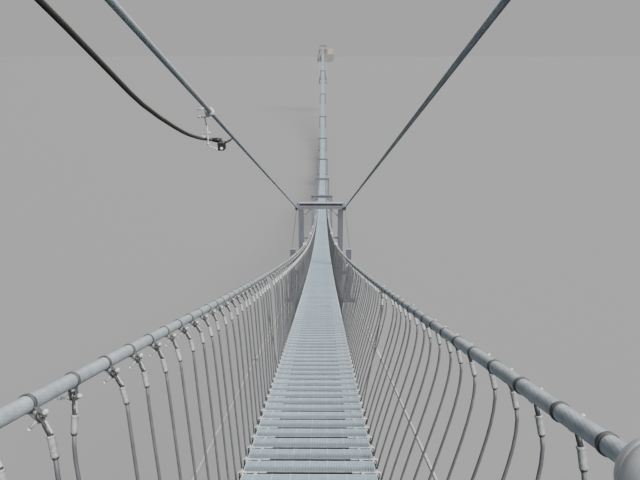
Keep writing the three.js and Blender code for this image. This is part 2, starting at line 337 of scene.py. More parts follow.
def ropes(paths: Array, radius: float, sides: int, aside: Point = Z_AXIS) -> Geometry:
    """Closed round ropes along paths.

    Args:
        paths: points of each rope's centreline, m by n by 3.
        radius: the ropes' radius.
        sides: how many sides each rope has.
        aside: a direction that no path runs along.

    Returns:
        The ropes, with their runs as UVs.
    """
    paths = np.asarray(paths, float)
    count, length = paths.shape[:2]
    along = unit(np.gradient(paths, axis=1))
    across = unit(np.cross(along, np.asarray(aside, float)))
    up = np.cross(across, along)
    angle = np.arange(sides) * 2 * np.pi / sides
    ring = np.cos(angle)[:, None] * across[:, :, None] + np.sin(angle)[:, None] * up[:, :, None]
    points = (paths[:, :, None] + radius * ring).reshape(-1, 3)
    j, i = np.meshgrid(np.arange(length - 1), np.arange(sides), indexing="ij")
    turn = (i + 1) % sides
    quads = np.stack([j * sides + i, j * sides + turn, (j + 1) * sides + turn, (j + 1) * sides + i], -1)
    quads = quads.reshape(-1, 4)[:, ::-1]
    steps = np.cumsum(np.linalg.norm(np.diff(paths, axis=1), axis=2), axis=1)
    distance = np.concatenate([np.zeros((count, 1)), steps], 1)
    u = np.stack([i, i + 1, i + 1, i], -1).reshape(-1, 4)[:, ::-1] / sides
    rows = np.stack([j, j, j + 1, j + 1], -1).reshape(-1, 4)[:, ::-1]
    first = np.arange(sides)
    last = (length - 1) * sides + first[::-1]
    corners, runs = [], []
    for number in range(count):
        shift = number * length * sides
        corners += [quads.ravel() + shift, first + shift, last + shift]
        runs += [np.stack([u, distance[number][rows]], -1).reshape(-1, 2), np.zeros((2 * sides, 2))]
    faces = len(quads) + 2
    return Geometry(
        points,
        np.concatenate(corners),
        np.tile(np.concatenate([np.full(len(quads), 4), np.full(2, sides)]), count),
        np.tile(np.arange(faces) < len(quads), count),
        np.zeros(faces * count, int),
        np.concatenate(runs),
        np.full(faces * count, 0.5),
    )


def rope(path: Array, radius: float, sides: int, aside: Point = Z_AXIS) -> Geometry:
    """One closed round rope; see ropes."""
    return ropes(np.asarray(path, float)[None], radius, sides, aside)


def mirrored(half: Profile) -> list[tuple[float, float]]:
    """A profile that is the same on both sides of 0, from its right-hand half."""
    return [(-along, out) for along, out in half] + list(half)[::-1]


class Sketch:
    """A small shape drawn with bmesh, for Geometry to repeat."""

    def __init__(self) -> None:
        """Starts with nothing drawn."""
        self.mesh = bmesh.new()
        self.finish = 0

    def using(self, finish: int) -> "Sketch":
        """Draws what follows in another of the piece's materials."""
        self.finish = finish
        return self

    def _close(
        self, verts: Iterable[bmesh.types.BMVert], smooth: Callable[[bmesh.types.BMFace], bool]
    ) -> "Sketch":
        """Turns a new shape's faces outwards and gives them their finish.

        Args:
            verts: the shape's vertices.
            smooth: tells whether a face is shaded smooth.

        Returns:
            The sketch.
        """
        faces = dict.fromkeys(face for vert in verts for face in vert.link_faces)
        bmesh.ops.recalc_face_normals(self.mesh, faces=list(faces))
        for face in faces:
            face.material_index = self.finish
            face.smooth = smooth(face)
        return self

    def _flat(self, verts: Iterable[bmesh.types.BMVert], bevel: float, segments: int) -> "Sketch":
        """Bevels a new shape's edges, if it has any bevel, and closes it with flat faces.

        Args:
            verts: the shape's vertices.
            bevel: how much its edges are cut back.
            segments: how many faces each bevel has.

        Returns:
            The sketch.
        """
        if bevel:
            edges = list(dict.fromkeys(edge for vert in verts for edge in vert.link_edges))
            verts = bmesh.ops.bevel(
                self.mesh, geom=edges, offset=bevel, offset_type="OFFSET", segments=segments, profile=0.5,
                affect="EDGES", material=-1,
            )["verts"]
        return self._close(verts, lambda face: False)

    def box(self, corner: Point, opposite: Point, bevel: float = 0.0, segments: int = 1) -> "Sketch":
        """A box between two opposite corners.

        Args:
            corner: one corner.
            opposite: the other corner.
            bevel: how much its edges are cut back.
            segments: how many faces each bevel has.

        Returns:
            The sketch.
        """
        low, high = (Vector([pick(pair) for pair in zip(corner, opposite)]) for pick in (min, max))
        matrix = Matrix.Translation((low + high) / 2) @ Matrix.Diagonal((*(high - low), 1))
        made = bmesh.ops.create_cube(self.mesh, size=1, matrix=matrix)["verts"]
        return self._flat(made, bevel, segments)

    def bar(
        self, x: float, half: float, ys: tuple[float, float], zs: tuple[float, float], bevel: float = 0.0,
        segments: int = 1,
    ) -> "Sketch":
        """A box about a place across the bridge."""
        return self.box((x - half, ys[0], zs[0]), (x + half, ys[1], zs[1]), bevel, segments)

    def rod(self, start: Point, end: Point, radius: float, sides: int) -> "Sketch":
        """A round or many-sided rod between two points.

        Args:
            start: the middle of one end.
            end: the middle of the other.
            radius: the rod's radius.
            sides: how many sides it has.

        Returns:
            The sketch.
        """
        start, end = Vector(start), Vector(end)
        line = end - start
        matrix = Matrix.Translation((start + end) / 2) @ line.to_track_quat("Z", "Y").to_matrix().to_4x4()
        made = bmesh.ops.create_cone(
            self.mesh, cap_ends=True, segments=sides, radius1=radius, radius2=radius, depth=line.length,
            matrix=matrix,
        )["verts"]
        return self._close(made, lambda face: sides > 6 and len(face.verts) == 4)

    def bolts(self, centre: Point, reach: Point, shaft: Point, radius: float, sides: int = 6) -> "Sketch":
        """Equal rods at the corners of a rectangle, or at a line's two ends.

        Args:
            centre: the rectangle's middle, at the level where the rods start.
            reach: half of the rectangle's size along each axis, and 0 along the others.
            shaft: from each rod's start to its end.
            radius: the rods' radius.
            sides: how many sides each rod has.

        Returns:
            The sketch.
        """
        for corner in product(*((-half, half) if half else (0.0,) for half in reach)):
            start = np.array(centre) + corner
            self.rod(start, start + shaft, radius, sides)
        return self

    def turned(self, profile: Profile, start: Point, end: Point, sides: int) -> "Sketch":
        """A turned body.

        Args:
            profile: points as (distance along, radius), spun round the line from start to end.
            start: where the distance along is 0.
            end: a point further along the line.
            sides: how many sides the body has.

        Returns:
            The sketch.
        """
        start, end = Vector(start), Vector(end)
        matrix = Matrix.Translation(start) @ (end - start).to_track_quat("Z", "Y").to_matrix().to_4x4()
        verts = [self.mesh.verts.new(matrix @ Vector((radius, 0, along))) for along, radius in profile]
        edges = [self.mesh.edges.new(pair) for pair in zip(verts, verts[1:])]
        bmesh.ops.spin(
            self.mesh, geom=verts + edges, cent=start, axis=(end - start).normalized(), dvec=(0, 0, 0),
            angle=2 * math.pi, steps=sides, use_merge=True, use_duplicate=False,
        )
        linked = self._linked(verts)
        bmesh.ops.remove_doubles(self.mesh, verts=linked, dist=1e-6)
        linked = self._linked([vert for vert in linked if vert.is_valid])
        return self._close(linked, lambda face: True)

    @staticmethod
    def _linked(verts: Iterable[bmesh.types.BMVert]) -> list[bmesh.types.BMVert]:
        """Every vertex that edges join to some vertices.

        Args:
            verts: where to start.

        Returns:
            The start and all that it is joined to.
        """
        found = dict.fromkeys(verts)
        queue = list(found)
        while queue:
            ends = [vert for edge in queue.pop().link_edges for vert in edge.verts]
            joined = dict.fromkeys(vert for vert in ends if vert not in found)
            found.update(joined)
            queue.extend(joined)
        return list(found)

    def plate(
        self, outline: Profile, origin: Point, across: Point, up: Point, thickness: float, bevel: float = 0.0
    ) -> "Sketch":
        """A flat plate with an outline, centred on its thickness.

        Args:
            outline: the corners, measured along across and up.
            origin: the outline's origin.
            across: the outline's first direction.
            up: the outline's second direction.
            thickness: the plate's thickness.
            bevel: how much the plate's edges are rounded.

        Returns:
            The sketch.
        """
        origin, across, up = Vector(origin), Vector(across).normalized(), Vector(up).normalized()
        out = across.cross(up)
        back = [
            self.mesh.verts.new(origin + across * x + up * y - out * thickness / 2) for x, y in outline
        ]
        face = self.mesh.faces.new(back)
        made = bmesh.ops.extrude_face_region(self.mesh, geom=[face], use_keep_orig=True)["geom"]
        front = [item for item in made if isinstance(item, bmesh.types.BMVert)]
        bmesh.ops.translate(self.mesh, verts=front, vec=out * thickness)
        return self._flat(back + front, bevel, 1)

    def ball(self, centre: Point, radius: float, sides: int, rings: int) -> "Sketch":
        """A round ball.

        Args:
            centre: its middle.
            radius: its radius.
            sides: how many sides it has round its poles.
            rings: how many bands it has from pole to pole.

        Returns:
            The sketch.
        """
        matrix = Matrix.Translation(Vector(centre))
        made = bmesh.ops.create_uvsphere(
            self.mesh, u_segments=sides, v_segments=rings, radius=radius, matrix=matrix
        )["verts"]
        return self._close(made, lambda face: True)

    def ribs(
        self, x: float, half: float, zs: tuple[float, float], reach: tuple[float, float],
        bevel: float = 0.001,
    ) -> "Sketch":
        """A pair of plates, one on each side of a steel section's web."""
        for way in (-1, 1):
            self.bar(x, half, (way * reach[0], way * reach[1]), zs, bevel)
        return self

    def geometry(self) -> Geometry:
        """The shape as arrays. The sketch is used up.

        Returns:
            The shape.
        """
        self.mesh.verts.index_update()
        faces = list(self.mesh.faces)
        points = np.array([vert.co[:] for vert in self.mesh.verts], float)
        corners = np.array([vert.index for face in faces for vert in face.verts])
        counts = np.array([len(face.verts) for face in faces])
        smooth = np.array([face.smooth for face in faces], bool)
        finish = np.array([face.material_index for face in faces])
        self.mesh.free()
        run, tone = np.zeros((len(corners), 2)), np.full(len(counts), 0.5)
        return Geometry(points, corners, counts, smooth, finish, run, tone)


class Nodes:
    """Adds and links the nodes of one tree."""

    def __init__(self, tree: Tree) -> None:
        """Takes the tree."""
        self.tree = tree

    def add(self, kind: str, inputs: Inputs | None = None, **settings: object) -> bpy.types.Node:
        """A node with its settings made and its inputs set or linked.

        Args:
            kind: the node's Blender type.
            inputs: values or sockets for the node's inputs, by name or number.
            settings: the node's own properties.

        Returns:
            The node.
        """
        node = self.tree.nodes.new(kind)
        node.location = (180 * len(self.tree.nodes), 0)
        for name, value in settings.items():
            setattr(node, name, value)
        self.feed(node, inputs or {})
        return node

    def feed(self, node: bpy.types.Node, inputs: Inputs) -> None:
        """Sets or links a node's inputs.

        Args:
            node: the node.
            inputs: values or sockets for its inputs, by name or number.
        """
        for name, value in inputs.items():
            if isinstance(value, Socket):
                self.tree.links.new(value, node.inputs[name])
            else:
                node.inputs[name].default_value = value

    def math(self, operation: str, first: Value, second: Value = 0.0, third: Value = 0.0) -> Socket:
        """The result of a math node."""
        return self.add("ShaderNodeMath", {0: first, 1: second, 2: third}, operation=operation).outputs[0]

    def times(self, first: Value, second: Value) -> Socket:
        """Two values multiplied."""
        return self.math("MULTIPLY", first, second)

    def mapped(self, value: Value, low: float, high: float, to_low: float = 0.0, to_high: float = 1.0
               ) -> Socket:
        """A value moved from one range to another, and kept within it."""
        ends = {"From Min": low, "From Max": high, "To Min": to_low, "To Max": to_high}
        return self.add("ShaderNodeMapRange", {"Value": value, **ends}).outputs["Result"]

    def blend(self, factor: Value, first: Value, second: Value) -> Socket:
        """Two colours mixed."""
        return self.add("ShaderNodeMix", {0: factor, 6: first, 7: second}, data_type="RGBA").outputs[2]

    def noise(self, place: Value, scale: Value, detail: float = 3.0, rough: float = 0.5) -> Socket:
        """A noise value."""
        inputs = {"Vector": place, "Scale": scale, "Detail": detail, "Roughness": rough}
        return self.add("ShaderNodeTexNoise", inputs).outputs[0]

    def cells(self, place: Value, scale: Value) -> bpy.types.Node:
        """A pattern of cells."""
        return self.add("ShaderNodeTexVoronoi", {"Vector": place, "Scale": scale}, feature="F1")

    def place(self, kind: str = "Object") -> Socket:
        """Where the surface is."""
        return self.add("ShaderNodeTexCoord").outputs[kind]

    def split(self, vector: Value) -> Sequence[Socket]:
        """A vector's three parts."""
        return self.add("ShaderNodeSeparateXYZ", {0: vector}).outputs


def rgba(colour: Colour, part: float = 1.0) -> tuple[float, float, float, float]:
    """A colour, or a darker part of it, with full alpha."""
    return (*(channel * part for channel in colour), 1.0)


class Group(Enum):
    """Node groups that several materials share."""

    SPANGLE = "zinc_spangle"
    WEATHER = "weathering"
    TWIST = "rope_twist"
    EDGES = "edge_wear"

    def tree(self) -> Tree:
        """The group's tree, built the first time that it is asked for."""
        found = bpy.data.node_groups.get(self.value)
        return found or GROUP_BUILDERS[self](self.value)


def group_tree(
    name: str, inputs: Mapping[str, float], outputs: Sequence[str]
) -> tuple[Nodes, dict[str, Socket], bpy.types.Node]:
    """An empty group with its sockets.

    Args:
        name: the group's name.
        inputs: the group's inputs and their usual values.
        outputs: the names of its outputs, which are all values.

    Returns:
        The group's nodes, its input sockets by name, and its output node.
    """
    tree = bpy.data.node_groups.new(name, "ShaderNodeTree")
    for label, value in inputs.items():
        socket = tree.interface.new_socket(name=label, in_out="INPUT", socket_type="NodeSocketFloat")
        socket.default_value = value
    for label in outputs:
        tree.interface.new_socket(name=label, in_out="OUTPUT", socket_type="NodeSocketFloat")
    nodes = Nodes(tree)
    start = nodes.add("NodeGroupInput")
    return nodes, {label: start.outputs[label] for label in inputs}, nodes.add("NodeGroupOutput")


def build_spangle(name: str) -> Tree:
    """Zinc crystals: flat patches of slightly different tone, with a little relief.

    Args:
        name: the group's name.

    Returns:
        The group's tree.
    """
    nodes, given, out = group_tree(name, {"Scale": 600.0}, ["Tone", "Height"])
    place = nodes.place()
    warp = nodes.times(nodes.noise(place, given["Scale"], 2.0), 0.002)
    moved = nodes.add("ShaderNodeVectorMath", {0: place, 1: warp}, operation="ADD").outputs[0]
    crystals = nodes.cells(moved, given["Scale"])
    tone = nodes.add("ShaderNodeSeparateColor", {0: crystals.outputs["Color"]}).outputs[0]
    cloud = nodes.noise(place, nodes.times(given["Scale"], 0.12), 3.0)
    nodes.feed(out, {
        "Tone": nodes.math("MULTIPLY_ADD", tone, 0.45, nodes.times(cloud, 0.55)),
        "Height": nodes.mapped(crystals.outputs["Distance"], 0.0, 0.6, 1.0, 0.0),
    })
    return nodes.tree


def build_weather(name: str) -> Tree:
    """Dirt in soft patches, and streaks that run down.

    Args:
        name: the group's name.

    Returns:
        The group's tree.
    """
    nodes, given, out = group_tree(name, {"Scale": 20.0}, ["Patches", "Streaks"])
    place = nodes.place()
    patches = nodes.noise(place, given["Scale"], 6.0, 0.62)
    stretched = nodes.add("ShaderNodeMapping", {"Vector": place, "Scale": (1.0, 1.0, 0.09)}).outputs[0]
    streaks = nodes.noise(stretched, nodes.times(given["Scale"], 4.0), 4.0, 0.6)
    patches, streaks = nodes.mapped(patches, 0.38, 0.68), nodes.mapped(streaks, 0.46, 0.72)
    nodes.feed(out, {"Patches": patches, "Streaks": streaks})
    return nodes.tree


def build_twist(name: str) -> Tree:
    """The strands of a laid rope, from its run: 1 in the grooves between strands, 0 on their crowns.

    Args:
        name: the group's name.

    Returns:
        The group's tree.
    """
    nodes, given, out = group_tree(name, {"Strands": 6.0, "Lay": 0.1}, ["Groove", "Height"])
    run = nodes.split(nodes.add("ShaderNodeUVMap", uv_map="run").outputs[0])
    turns = nodes.math("DIVIDE", run[1], given["Lay"])
    phase = nodes.times(nodes.math("ADD", run[0], turns), given["Strands"])
    saw = nodes.math("ABSOLUTE", nodes.math("SUBTRACT", nodes.math("FRACT", phase), 0.5))
    edge = nodes.times(saw, 2.0)
    crown = nodes.math("SQRT", nodes.math("SUBTRACT", 1.0, nodes.times(edge, edge)))
    nodes.feed(out, {"Groove": nodes.math("POWER", edge, 3.0), "Height": crown})
    return nodes.tree


def build_edges(name: str) -> Tree:
    """Where a surface is close to an outer or inner edge.

    Args:
        name: the group's name.

    Returns:
        The group's tree.
    """
    nodes, given, out = group_tree(name, {"Width": 0.001}, ["Wear"])
    rounded = nodes.add("ShaderNodeBevel", {"Radius": given["Width"]}, samples=4).outputs[0]
    flat = nodes.add("ShaderNodeNewGeometry").outputs["Normal"]
    match = nodes.add("ShaderNodeVectorMath", {0: rounded, 1: flat}, operation="DOT_PRODUCT")
    nodes.feed(out, {"Wear": nodes.mapped(match.outputs["Value"], 0.995, 0.8)})
    return nodes.tree


GROUP_BUILDERS: dict[Group, Callable[[str], Tree]] = {
    Group.SPANGLE: build_spangle,
    Group.WEATHER: build_weather,
    Group.TWIST: build_twist,
    Group.EDGES: build_edges,
}


@dataclass(frozen=True)
class Finish:
    """One material. Each kind of finish draws its own nodes.

    Args:
        name: the material's name.
        dark: its darker colour.
        light: its lighter colour.
        roughness: how rough it is.
    """

    name: str
    dark: Colour
    light: Colour
    roughness: float = 0.5

    def material(self) -> bpy.types.Material:
        """The Blender material, made the first time that it is asked for.

        Returns:
            The material.
        """
        found = bpy.data.materials.get(self.name)
        if found:
            return found
        made = bpy.data.materials.new(self.name)
        made.use_nodes = True
        made.diffuse_color = rgba(self.light)
        nodes = Nodes(made.node_tree)
        shader = next(node for node in made.node_tree.nodes if node.type == "BSDF_PRINCIPLED")
        nodes.feed(shader, self.draw(nodes))
        log.info("finish %s", self.name)
        return made

    def draw(self, nodes: Nodes) -> dict[str, Value]:
        """What this finish feeds to the shader's inputs."""
        raise NotImplementedError

    def mixed(self, nodes: Nodes, factor: Value) -> Socket:
        """The darker and the lighter colour mixed."""
        return nodes.blend(factor, rgba(self.dark), rgba(self.light))

    def group(self, nodes: Nodes, group: Group, **inputs: float) -> Mapping[str, Socket]:
        """The outputs of one of the shared groups.

        Args:
            nodes: the material's nodes.
            group: which group.
            inputs: its inputs' values, by their names in small letters.

        Returns:
            The group's outputs.
        """
        values = {name.capitalize(): value for name, value in inputs.items()}
        node = nodes.add("ShaderNodeGroup", node_tree=group.tree())
        nodes.feed(node, values)
        return node.outputs

    def tone(self, nodes: Nodes) -> Socket:
        """The number that varies from one repeated shape to the next."""
        found = nodes.add("ShaderNodeAttribute", attribute_name="tone", attribute_type="GEOMETRY")
        return found.outputs["Fac"]

    def relief(self, nodes: Nodes, height: Value, strength: float, distance: float) -> Socket:
        """The surface's normal, bumped by a height."""
        inputs = {"Strength": strength, "Distance": distance, "Height": height}
        return nodes.add("ShaderNodeBump", inputs).outputs[0]


@dataclass(frozen=True)
class Galvanised(Finish):
    """Hot-dip galvanised steel: spangle, dull patches, streaks and brighter edges.

    Args:
        metallic: how metallic the zinc still looks.
        spangle: the crystals' scale.
        dirty: how much dirt shows in patches and streaks.
        wear: how wide the worn edges are, in metres of the model; 0 leaves them out.
        dirt: the dirt's colour.
        worn: the colour of rubbed edges.
    """

    metallic: float = 0.35
    spangle: float = 500.0
    dirty: float = 0.3
    wear: float = 0.0
    dirt: Colour = (0.1, 0.095, 0.085)
    worn: Colour = (0.6, 0.62, 0.63)

    def draw(self, nodes: Nodes) -> dict[str, Value]:
        """The zinc's nodes.

        Args:
            nodes: the material's nodes.

        Returns:
            What goes into the shader's inputs.
        """
        zinc = self.group(nodes, Group.SPANGLE, scale=self.spangle)
        weather = self.group(nodes, Group.WEATHER, scale=22.0)
        varied = nodes.math("MULTIPLY_ADD", self.tone(nodes), 0.45, nodes.times(zinc["Tone"], 0.6))
        grime = nodes.math("MAXIMUM", nodes.times(weather["Patches"], 0.6), weather["Streaks"])
        colour = nodes.blend(nodes.times(grime, self.dirty), self.mixed(nodes, varied), rgba(self.dirt))
        rough = nodes.math("MULTIPLY_ADD", zinc["Tone"], 0.2, self.roughness - 0.1)
        if self.wear:
            edges = self.group(nodes, Group.EDGES, width=self.wear)
            colour = nodes.blend(nodes.times(edges["Wear"], 0.7), colour, rgba(self.worn))
        return {
            "Base Color": colour,
            "Roughness": nodes.math("ADD", rough, nodes.times(grime, 0.15)),
            "Metallic": self.metallic,
            "Normal": self.relief(nodes, zinc["Height"], 0.25, 0.00004),
        }


@dataclass(frozen=True)
class Rope(Finish):
    """Laid wire rope: strands from its run, pale crowns, grooves darkened as painted shade, and dull
    patches.

    Args:
        strands: how many strands go round the rope.
        lay: the length of one turn, in real metres.
        groove: how dark the painted shade in the grooves is.
        depth: the strands' relief, in metres of the model.
        metallic: how metallic the wires look.
    """

    strands: float = 6.0
    lay: float = 0.12
    groove: float = 0.6
    depth: float = 0.0002
    metallic: float = 0.4

    def draw(self, nodes: Nodes) -> dict[str, Value]:
        """The rope's nodes.

        Args:
            nodes: the material's nodes.

        Returns:
            What goes into the shader's inputs.
        """
        twist = self.group(nodes, Group.TWIST, strands=self.strands, lay=self.lay)
        weather = self.group(nodes, Group.WEATHER, scale=35.0)
        cloud = nodes.mapped(nodes.noise(nodes.place(), 260.0, 5.0, 0.65), 0.32, 0.7)
        varied = nodes.math("MULTIPLY_ADD", self.tone(nodes), 0.3, nodes.times(cloud, 0.7))
        # The grooves between the strands are darkened toward the rope's dark colour: painted shade.
        shade = nodes.times(twist["Groove"], self.groove)
        colour = nodes.blend(shade, self.mixed(nodes, varied), rgba(self.dark, 0.35))
        dull = nodes.times(weather["Patches"], 0.25)
        return {
            "Base Color": nodes.blend(dull, colour, rgba(self.dark, 0.6)),
            "Roughness": nodes.mapped(cloud, 0.0, 1.0, self.roughness + 0.1, self.roughness - 0.06),
            "Metallic": self.metallic,
            "Normal": self.relief(nodes, twist["Height"], 0.8, self.depth),
        }


@dataclass(frozen=True)
class CastConcrete(Finish):
    """Board-marked concrete: pours, board joints, pores, damp streaks and rubbed edges.

    Args:
        board: the width of the boards, in metres of the model.
        stain: the damp streaks' colour.
        rubbed: the edges' colour.
    """

    board: float = 0.03
    stain: Colour = (0.16, 0.155, 0.13)
    rubbed: Colour = (0.62, 0.61, 0.57)

    def draw(self, nodes: Nodes) -> dict[str, Value]:
        """The concrete's nodes.

        Args:
            nodes: the material's nodes.

        Returns:
            What goes into the shader's inputs.
        """
        weather = self.group(nodes, Group.WEATHER, scale=9.0)
        edges = self.group(nodes, Group.EDGES, width=0.004)
        place = nodes.place()
        course = nodes.math("FRACT", nodes.math("DIVIDE", nodes.split(place)[2], self.board))
        joint = nodes.mapped(nodes.math("ABSOLUTE", nodes.math("SUBTRACT", course, 0.5)), 0.465, 0.5)
        grain = nodes.noise(place, 90.0, 8.0, 0.65)
        holes = nodes.mapped(nodes.cells(place, 260.0).outputs["Distance"], 0.16, 0.06)
        damp = nodes.times(nodes.math("MAXIMUM", weather["Patches"], weather["Streaks"]), 0.45)
        colour = nodes.blend(damp, self.mixed(nodes, nodes.mapped(grain, 0.3, 0.7)), rgba(self.stain))
        marks = nodes.math("MAXIMUM", nodes.times(joint, 0.5), nodes.times(holes, 0.45))
        colour = nodes.blend(marks, colour, rgba(self.dark, 0.4))
        relief = nodes.math("SUBTRACT", grain, nodes.math("ADD", joint, holes))
        return {
            "Base Color": nodes.blend(nodes.times(edges["Wear"], 0.35), colour, rgba(self.rubbed)),
            "Roughness": nodes.mapped(grain, 0.3, 0.7, 0.95, self.roughness),
            "Normal": self.relief(nodes, relief, 0.5, 0.0004),
        }


@dataclass(frozen=True)
class LimeRender(Finish):
    """Trowelled lime render with soft stains."""

    def draw(self, nodes: Nodes) -> dict[str, Value]:
        """The render's nodes.

        Args:
            nodes: the material's nodes.

        Returns:
            What goes into the shader's inputs.
        """
        weather = self.group(nodes, Group.WEATHER, scale=12.0)
        swept = nodes.noise(nodes.place(), 60.0, 6.0, 0.7)
        colour = self.mixed(nodes, nodes.mapped(swept, 0.35, 0.68))
        return {
            "Base Color": nodes.blend(nodes.times(weather["Streaks"], 0.35), colour, rgba(self.dark, 0.5)),
            "Roughness": self.roughness,
            "Normal": self.relief(nodes, swept, 0.4, 0.0006),
        }


@dataclass(frozen=True)
class Moulded(Finish):
    """Moulded plastic or a cable's sheath: fine grain, dust and a soft shine.

    Args:
        grain: the grain's scale.
        dust: the dust's colour.
    """

    grain: float = 1500.0
    dust: Colour = (0.12, 0.12, 0.1)

    def draw(self, nodes: Nodes) -> dict[str, Value]:
        """The plastic's nodes.

        Args:
            nodes: the material's nodes.

        Returns:
            What goes into the shader's inputs.
        """
        weather = self.group(nodes, Group.WEATHER, scale=40.0)
        speckle = nodes.noise(nodes.place(), self.grain, 3.0, 0.6)
        facing = nodes.split(nodes.add("ShaderNodeNewGeometry").outputs["Normal"])[2]
        dusty = nodes.times(nodes.mapped(facing, -0.2, 1.0, 0.0, 0.6), weather["Patches"])
        colour = self.mixed(nodes, nodes.mapped(speckle, 0.35, 0.65))
        return {
            "Base Color": nodes.blend(dusty, colour, rgba(self.dust)),
            "Roughness": nodes.math("MULTIPLY_ADD", dusty, 0.3, self.roughness),
            "Normal": self.relief(nodes, speckle, 0.3, 0.00005),
        }


def zinc(name: str, dark: Colour, light: Colour, look: Sequence[float]) -> Galvanised:
    """A galvanised finish."""
    return Galvanised(name, dark, light, *look)


@dataclass(frozen=True)
class Palette:
    """Every finish on the bridge."""

    concrete: Finish = CastConcrete("concrete_cast", (0.36, 0.35, 0.32), (0.52, 0.51, 0.475), 0.82)
    render: Finish = LimeRender("render_cream", (0.6, 0.54, 0.42), (0.74, 0.68, 0.56), 0.9)
    frame: Finish = zinc(
        "steel_frame", (0.19, 0.19, 0.22), (0.36, 0.36, 0.41), (0.55, 0.25, 260.0, 0.3, 0.0008)
    )
    # A paler copy of the frame steel, on the stayed portals' braces and on the crossbeam's top plate, where
    # it paints light on the beam's top.
    pale_frame: Finish = zinc("steel_pale", (0.36, 0.37, 0.4), (0.58, 0.59, 0.63), (0.5, 0.2, 300.0, 0.2))
    # A paler copy of the frame steel for the distant portals: painted light.
    far_frame: Finish = zinc(
        "steel_far", (0.27, 0.3, 0.33), (0.44, 0.48, 0.52), (0.55, 0.2, 260.0, 0.25, 0.0008)
    )
    tread: Finish = zinc("zinc_tread", (0.276, 0.388, 0.465), (0.622, 0.822, 0.94), (0.5, 0.15, 420.0, 0.12))
    clip: Finish = zinc("zinc_clip", (0.62, 0.67, 0.7), (0.84, 0.88, 0.9), (0.42, 0.12, 900.0, 0.08))
    bright: Finish = zinc("zinc_bright", (0.74, 0.76, 0.74), (0.92, 0.93, 0.91), (0.42, 0.15, 900.0, 0.08))
    # The ferrule zinc runs from dark grey to near-white; the tone by distance picks the near-white for the
    # farther ferrules as painted highlight.
    ferrule: Finish = zinc(
        "ferrule_pale", (0.24, 0.245, 0.24), (0.95, 0.95, 0.94), (0.5, 0.15, 1200.0, 0.12)
    )
    # The shade and under zincs are darker copies of the tread zinc: painted shade on the treads' front
    # halves.
    shade: Finish = zinc("zinc_shade", (0.14, 0.175, 0.2), (0.48, 0.57, 0.62), (0.55, 0.1, 420.0, 0.12))
    under: Finish = zinc("zinc_under", (0.1, 0.122, 0.135), (0.36, 0.42, 0.45), (0.6, 0.1, 420.0, 0.12))
    junction: Finish = zinc("zinc_lilac", (0.27, 0.265, 0.3), (0.46, 0.45, 0.5), (0.45, 0.25, 900.0, 0.2))
    # Near-black steel as painted shade: the tread bodies seen in the gaps, the boxes under the nosings, and
    # the bolts and plates under the edge clamps.
    dark: Finish = zinc("steel_dark", (0.018, 0.02, 0.02), (0.05, 0.053, 0.052), (0.6, 0.2, 900.0, 0.2))
    thimble: Finish = zinc("thimble_dark", (0.07, 0.073, 0.07), (0.17, 0.175, 0.17), (0.42, 0.5, 900.0, 0.2))
    # Near-black bands at the strap's edges, where it meets the rope: painted shade in the crease.
    band: Finish = zinc("strap_edge", (0.05, 0.047, 0.04), (0.1, 0.094, 0.084), (0.5, 0.3, 900.0, 0.3))
    strap: Finish = zinc("strap_zinc", (0.24, 0.26, 0.265), (0.44, 0.47, 0.485), (0.42, 0.35, 900.0, 0.25))
    ring: Finish = zinc("ring_zinc", (0.09, 0.092, 0.094), (0.2, 0.205, 0.208), (0.45, 0.3, 900.0, 0.25))
    ball: Finish = zinc("cast_ball", (0.5, 0.525, 0.54), (0.97, 0.98, 0.99), (0.55, 0.02, 160.0, 0.35))
    rail: Finish = Rope(
        "rope_rail", (0.42, 0.47, 0.496), (0.745, 0.82, 0.858), 0.45, 14.0, 0.55, groove=0.16, depth=0.00004,
        metallic=0.15,
    )
    stay: Finish = Rope(
        "rope_stay", (0.5, 0.55, 0.58), (0.82, 0.88, 0.92), 0.45, 8.0, 0.35, groove=0.15, depth=0.00004,
        metallic=0.15,
    )
    low_stay: Finish = Rope(
        "rope_low_stay", (0.7, 0.69, 0.63), (0.94, 0.92, 0.85), 0.5, 8.0, 0.3, groove=0.15, depth=0.00008,
        metallic=0.05,
    )
    # The carrying rope's near-black colour is the rope's steel with the shade under the deck's edges painted
    # in.
    carrier: Finish = Rope(
        "rope_carrier", (0.03, 0.033, 0.03), (0.075, 0.08, 0.074), 0.55, 8.0, 0.3, groove=0.5, depth=0.0001,
        metallic=0.3,
    )
    wire: Finish = Rope(
        "rope_hanger", (0.148, 0.148, 0.156), (0.28, 0.28, 0.295), 0.45, 6.0, 0.09, groove=0.45,
        depth=0.0001, metallic=0.25,
    )
    sheath: Finish = Moulded("cable_sheath", (0.058, 0.068, 0.052), (0.115, 0.13, 0.098), 0.55)
    plastic: Finish = Moulded("box_plastic", (0.022, 0.023, 0.024), (0.04, 0.042, 0.043), 0.4)


PALETTE = Palette()


